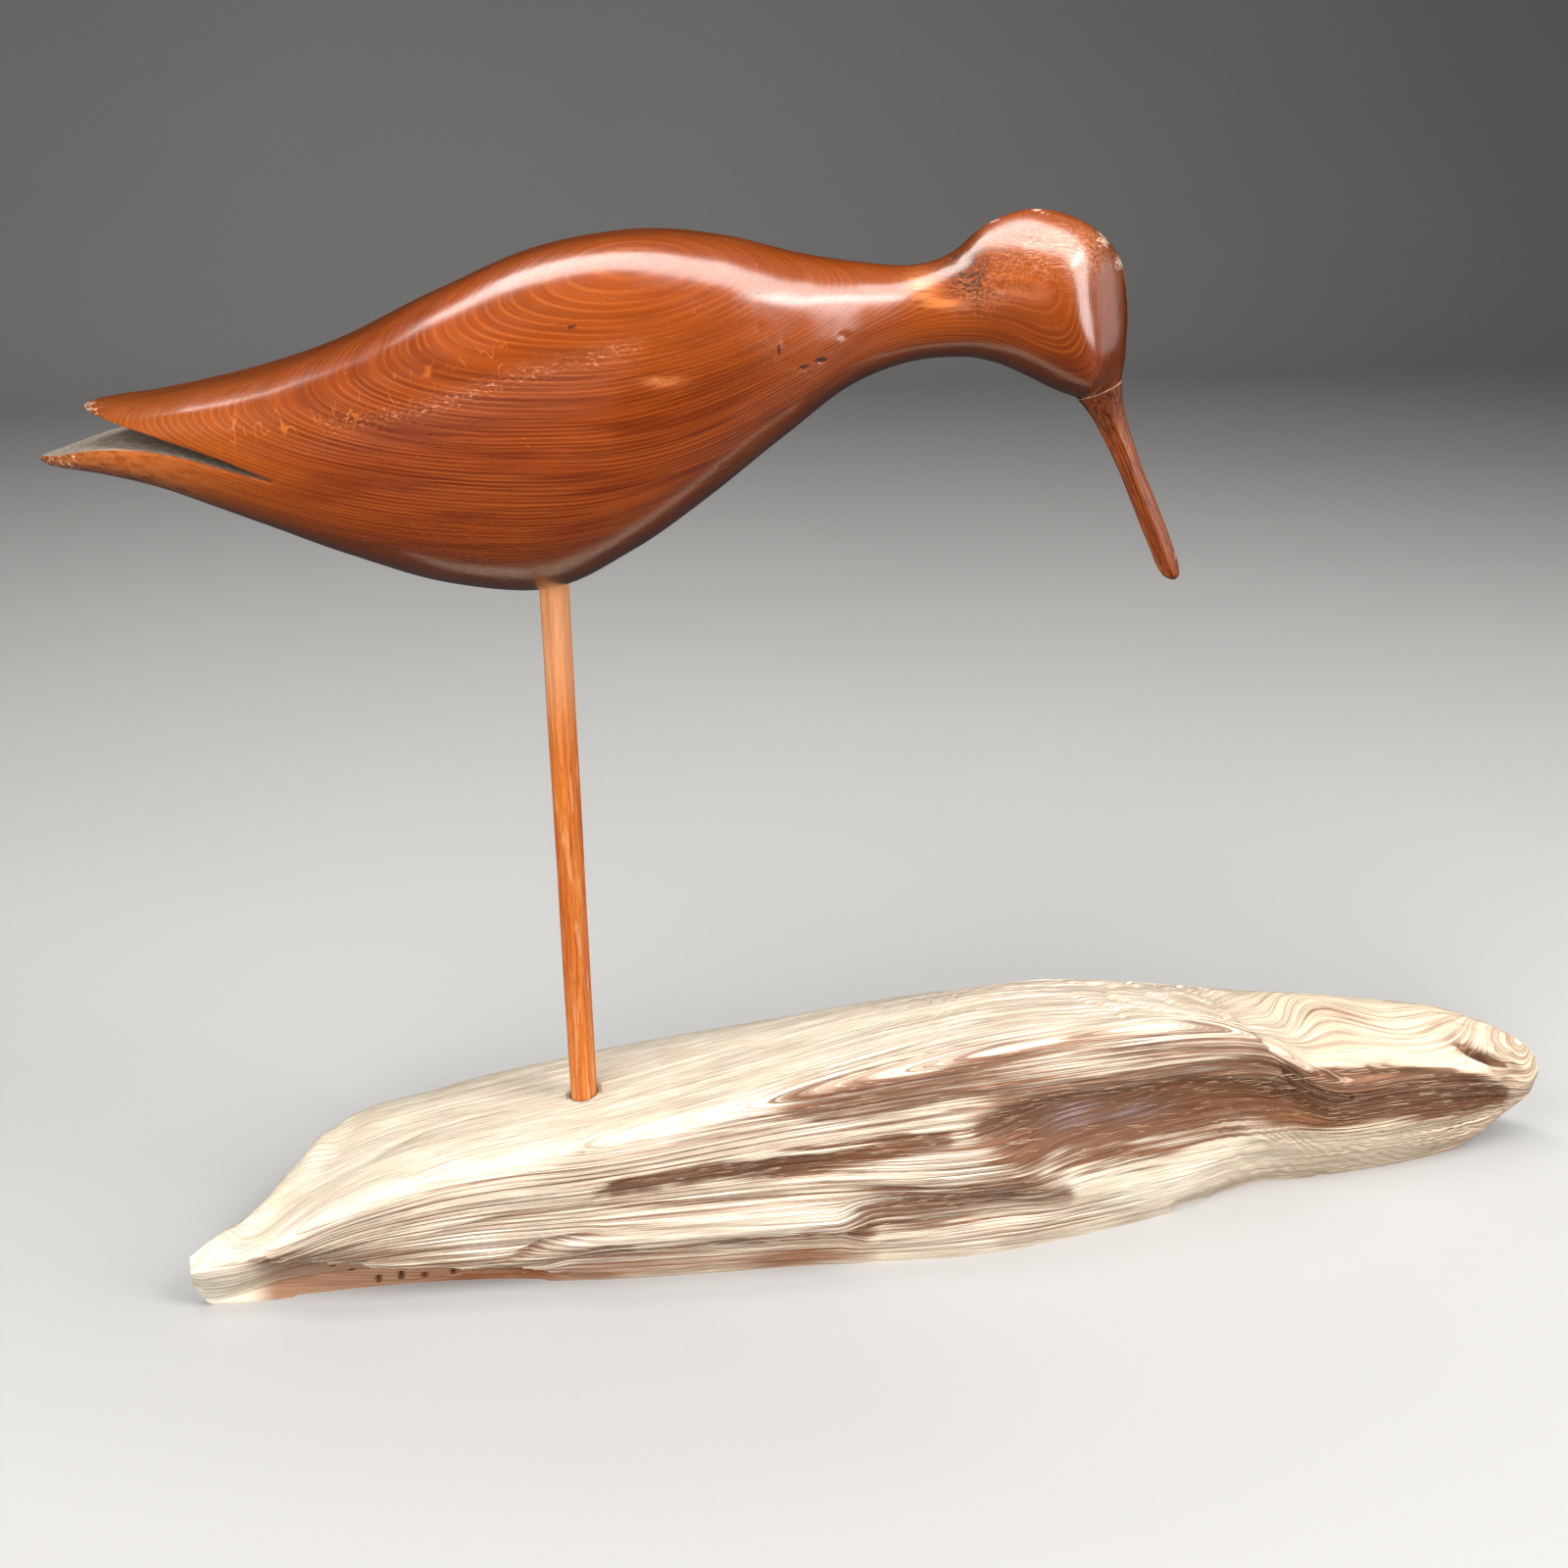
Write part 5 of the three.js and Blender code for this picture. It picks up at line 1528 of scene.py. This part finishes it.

# %% [markdown]
# ## The bill's wood
# The bill had the same stain as the body, but it is thinner, redder and more worn. Its root is painted
# darkest, as painted shade, its tip is chipped and dark, and a line of dried glue shows pale where it joins
# the head. The body's material could be used again, but its rings are far too wide for so thin a stick.

# %% Stain the bill
bill_turn = Matrix(((bill_way[0], 0, -bill_way[1]), (0, 1, 0), (bill_way[1], 0, bill_way[0]))).to_4x4()
bill_root = Matrix.Translation(Vector((joint_middle[0] * MM, 0, joint_middle[1] * MM)))
bill_wood, tree, shader = new_material("stained bill wood")
place, _, _, _ = place_in(tree, bird_place @ bill_root @ bill_turn)
down = kept(tree, "down")
bands = streaks(tree, place, 30.0, 1.1, 0.36, 0.64)
fine = streaks(tree, place, 12.0, 0.4, 0.42, 0.64)
dark_lines = streaks(tree, place, 5.0, 0.35, 0.58, 0.7)
old_glue = stepped(tree, noise(tree, place, (1.0, 1.0, 1.0)), 0.35, 0.55, 0.3, 1.0)
wood = mixed(tree, bands, paint(80, 32, 12), paint(140, 68, 28))
wood = layered(tree, wood, [
    # painted shade: darkest at the root of the bill
    (stepped(tree, down, 0.3, 0.02), 0.65, (54, 21, 8)),
    (fine, 0.2, (196, 114, 68)),
    (dark_lines, 0.65, (70, 26, 14)),
    (worn_spots(tree, place, 9.0, 1.0, stepped(tree, down, 0.5, 1.0), 0.12), 0.6, (232, 176, 138)),
    (stepped(tree, down, 0.955, 0.985), 0.7, (84, 34, 20)),
    (kept(tree, "glue"), old_glue, (214, 186, 150)),
])
gloss = math_node(tree, "ADD", times(tree, fine, 0.12), 0.3)
knife_marks = math_node(tree, "SUBTRACT", times(tree, fine, 0.5), dark_lines)
finish_with(tree, shader, wood, gloss, knife_marks, 0.05)
seat(bill, "bill", bill_wood)

# %% [markdown]
# ## The driftwood's colours
# Sun and salt have bleached everything that stands proud. The colour is therefore driven by the carving: by
# the values for brown hollows and painted shade, by the valleys between growth layers, which are painted
# darker partly as shade in the grooves, and by stripes that follow each layer. The rounded right end is
# painted a little darker, as painted shade, and grey streaks lie over all of it.

# %% Bleach the driftwood
drift_wood, tree, shader = new_material("bleached driftwood")
place, along, _, _ = place_in(tree, Matrix.Identity(4))
by_layer = vector_of(tree, along, kept(tree, "layer"), 0.0)
wide_stripes = streaks(tree, by_layer, 90.0, 1.5, 0.36, 0.64)
stripes = streaks(tree, by_layer, 80.0, 0.42, 0.46, 0.58)
hairs = streaks(tree, by_layer, 55.0, 0.2, 0.5, 0.6)
greyed = times(tree, streaks(tree, by_layer, 38.0, 0.55, 0.44, 0.56),
               stepped(tree, noise(tree, place, (55.0, 16.0, 16.0)), 0.46, 0.62))
pale_fibres = streaks(tree, by_layer, 16.0, 0.28, 0.6, 0.67)
mottle = stepped(tree, noise(tree, place, (20.0, 12.0, 12.0), 3.0), 0.35, 0.65)
in_grain = math_node(tree, "ADD", times(tree, kept(tree, "grained"), 0.88), 0.12)
grooves = stepped(tree, math_node(tree, "ADD", kept(tree, "valley"), times(tree, hairs, 0.2)), 0.28, 0.82)
torn = math_node(tree, "SUBTRACT", math_node(tree, "ADD", stripes, wide_stripes), 1.0)
brown_edge = math_node(tree, "ADD", kept(tree, "brown"), times(tree, torn, 0.3))

wood = mixed(tree, mottle, paint(243, 230, 206), paint(251, 241, 221))
wood = layered(tree, wood, [
    (wide_stripes, 0.25, (234, 214, 186)),
    # painted shade: darker towards the rounded right end
    (stepped(tree, along, 110.0, 185.0), 0.6, (214, 194, 164)),
    (times(tree, stripes, in_grain), 0.7, (190, 158, 140)),
    (times(tree, hairs, in_grain), 0.6, (146, 112, 96)),
    # darker in the valleys between layers: partly painted shade in the grooves
    (grooves, 0.78, (122, 90, 72)),
    (greyed, 0.3, (176, 152, 142)),
])
dark = mixed(tree, stripes, paint(98, 57, 35), paint(136, 92, 66))
dark = layered(tree, dark, [(hairs, 0.5, (74, 44, 30)), (pale_fibres, 0.6, (216, 190, 164))])
wood = mixed(tree, times(tree, stepped(tree, brown_edge, 0.12, 0.85), 0.9), wood, dark)
wood = layered(tree, wood, [
    (kept(tree, "orange"), 0.85, (136, 82, 47)),
    (times(tree, kept(tree, "bloom"), hairs), 0.6, (222, 216, 230)),
    (kept(tree, "sliver"), 1.0, (210, 180, 152)),
])
rough = math_node(tree, "ADD", times(tree, stripes, 0.1), 0.84)
shader.inputs["Specular IOR Level"].default_value = 0.25
fibres = math_node(tree, "ADD", times(tree, stripes, -0.6), times(tree, hairs, -0.5))
fibres = math_node(tree, "ADD", fibres, times(tree, noise(tree, place, (9.0, 0.8, 0.8), 3.0), 0.4))
finish_with(tree, shader, wood, rough, fibres, 0.3)
seat(driftwood, "driftwood_base", drift_wood)

# %% [markdown]
# ## The studio
# The decoy stands on a plain pale sweep: a floor that bends up far behind and leaves no edge. Glossy
# varnish would mirror so pale a floor and lose its red, so the paper is pale only where the camera sees
# it. All other rays, among them the ones that come from the varnish, find it dark.

# %% Lay the floor
FLOOR_FRONT = -3.0
FLOOR_BACK = 2.2
FLOOR_HALF = 5.0
SWEEP_RADIUS = 1.6
SWEEP_TOP = 4.0

bend = np.linspace(0, math.pi / 2, 25)
profile = [(FLOOR_FRONT, 0.0)]
profile += [(FLOOR_BACK + SWEEP_RADIUS * math.sin(a), SWEEP_RADIUS * (1 - math.cos(a))) for a in bend]
profile += [(FLOOR_BACK + SWEEP_RADIUS, SWEEP_TOP)]
floor_points = np.array([(x, y, z) for y, z in profile for x in (-FLOOR_HALF, FLOOR_HALF)]) / MM
floor_faces = [np.array([(2 * i, 2 * i + 1, 2 * i + 3, 2 * i + 2) for i in range(len(profile) - 1)])]
floor = make_piece("studio_floor", floor_points, floor_faces)
floor_paper, tree, shader = new_material("pale studio paper")
place, _, _, _ = place_in(tree, Matrix.Identity(4))
tone = noise(tree, place, (400.0, 400.0, 400.0))
seen = add_node(tree, "ShaderNodeLightPath").outputs["Is Camera Ray"]
paper = mixed(tree, tone, paint(184, 184, 184), paint(190, 190, 189))
tree.links.new(mixed(tree, seen, paint(52, 52, 52), paper), shader.inputs["Base Color"])
shader.inputs["Roughness"].default_value = 0.6
floor.data.materials.append(floor_paper)
floor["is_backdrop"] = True
print_size(floor)

# %% [markdown]
# ## The lights
# A long soft box hangs overhead, turned so that its mirror image runs along the shoulder. A tall window
# and a small dim wall at the right make the sheen on the neck and the face. Two soft lights at the left
# lift the front of the driftwood and the leg, and they are kept out of the varnish, which has no place
# for more mirror images. One big lamp would be simpler, but each highlight needs a source of its own.

# %% Hang the lights
AIM = Vector((0.0, 0.0, 0.25))
LIGHTS = {
    # name: place, width, height, turn, watts, colour, seen in the varnish
    "overhead": ((0.2, 0.05, 1.65), 2.7, 0.6, -40, 28.0, (1.0, 0.98, 0.95), True),
    "right window": ((1.09, -0.66, 0.9), 0.6, 1.5, 0, 16.0, (1.0, 0.98, 0.96), True),
    "right wall": ((1.5, 0.15, 0.45), 0.6, 0.6, 0, 0.9, (0.96, 0.98, 1.0), True),
    "left fill": ((-0.6, -1.45, 0.52), 1.0, 0.8, 0, 31.0, (1.0, 0.97, 0.94), False),
    "left window": ((-0.95, -0.5, 1.25), 0.8, 0.8, 0, 11.0, (1.0, 0.98, 0.95), False),
}
for name, (at, width, height, turn, watts, colour, mirrored) in LIGHTS.items():
    light = bpy.data.lights.new(name, "AREA")
    light.shape = "RECTANGLE"
    light.size = width
    light.size_y = height
    light.energy = watts
    light.color = colour
    lamp = bpy.data.objects.new(name, light)
    lamp.location = at
    lamp.visible_glossy = mirrored
    way = AIM - Vector(at)
    lamp.rotation_euler = (0, 0, math.radians(turn)) if turn else way.to_track_quat("-Z", "Y").to_euler()
    bpy.context.scene.collection.objects.link(lamp)

ROOM_LIGHT = 0.07
world = bpy.data.worlds.new("room")
world.use_nodes = True
world.node_tree.nodes["Background"].inputs["Color"].default_value = (0.98, 0.99, 1.0, 1.0)
world.node_tree.nodes["Background"].inputs["Strength"].default_value = ROOM_LIGHT
bpy.context.scene.world = world
bpy.context.scene.view_settings.view_transform = "Standard"
print("lights:", ", ".join(LIGHTS))

# %% [markdown]
# ## The sizes side by side
# The finished pieces have to fill the same room as the solid model, or the decoy would be a different size
# on a shelf than in its drawing. So both boxes are measured and printed side by side.

# %% Measure the sizes and finish
visual_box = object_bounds()
sizes = {"solid": [list(corner) for corner in solid_box], "visual": [list(corner) for corner in visual_box]}
print("solid model", [round(v, 4) for corner in solid_box for v in corner])
print("finished decoy", [round(v, 4) for corner in visual_box for v in corner])
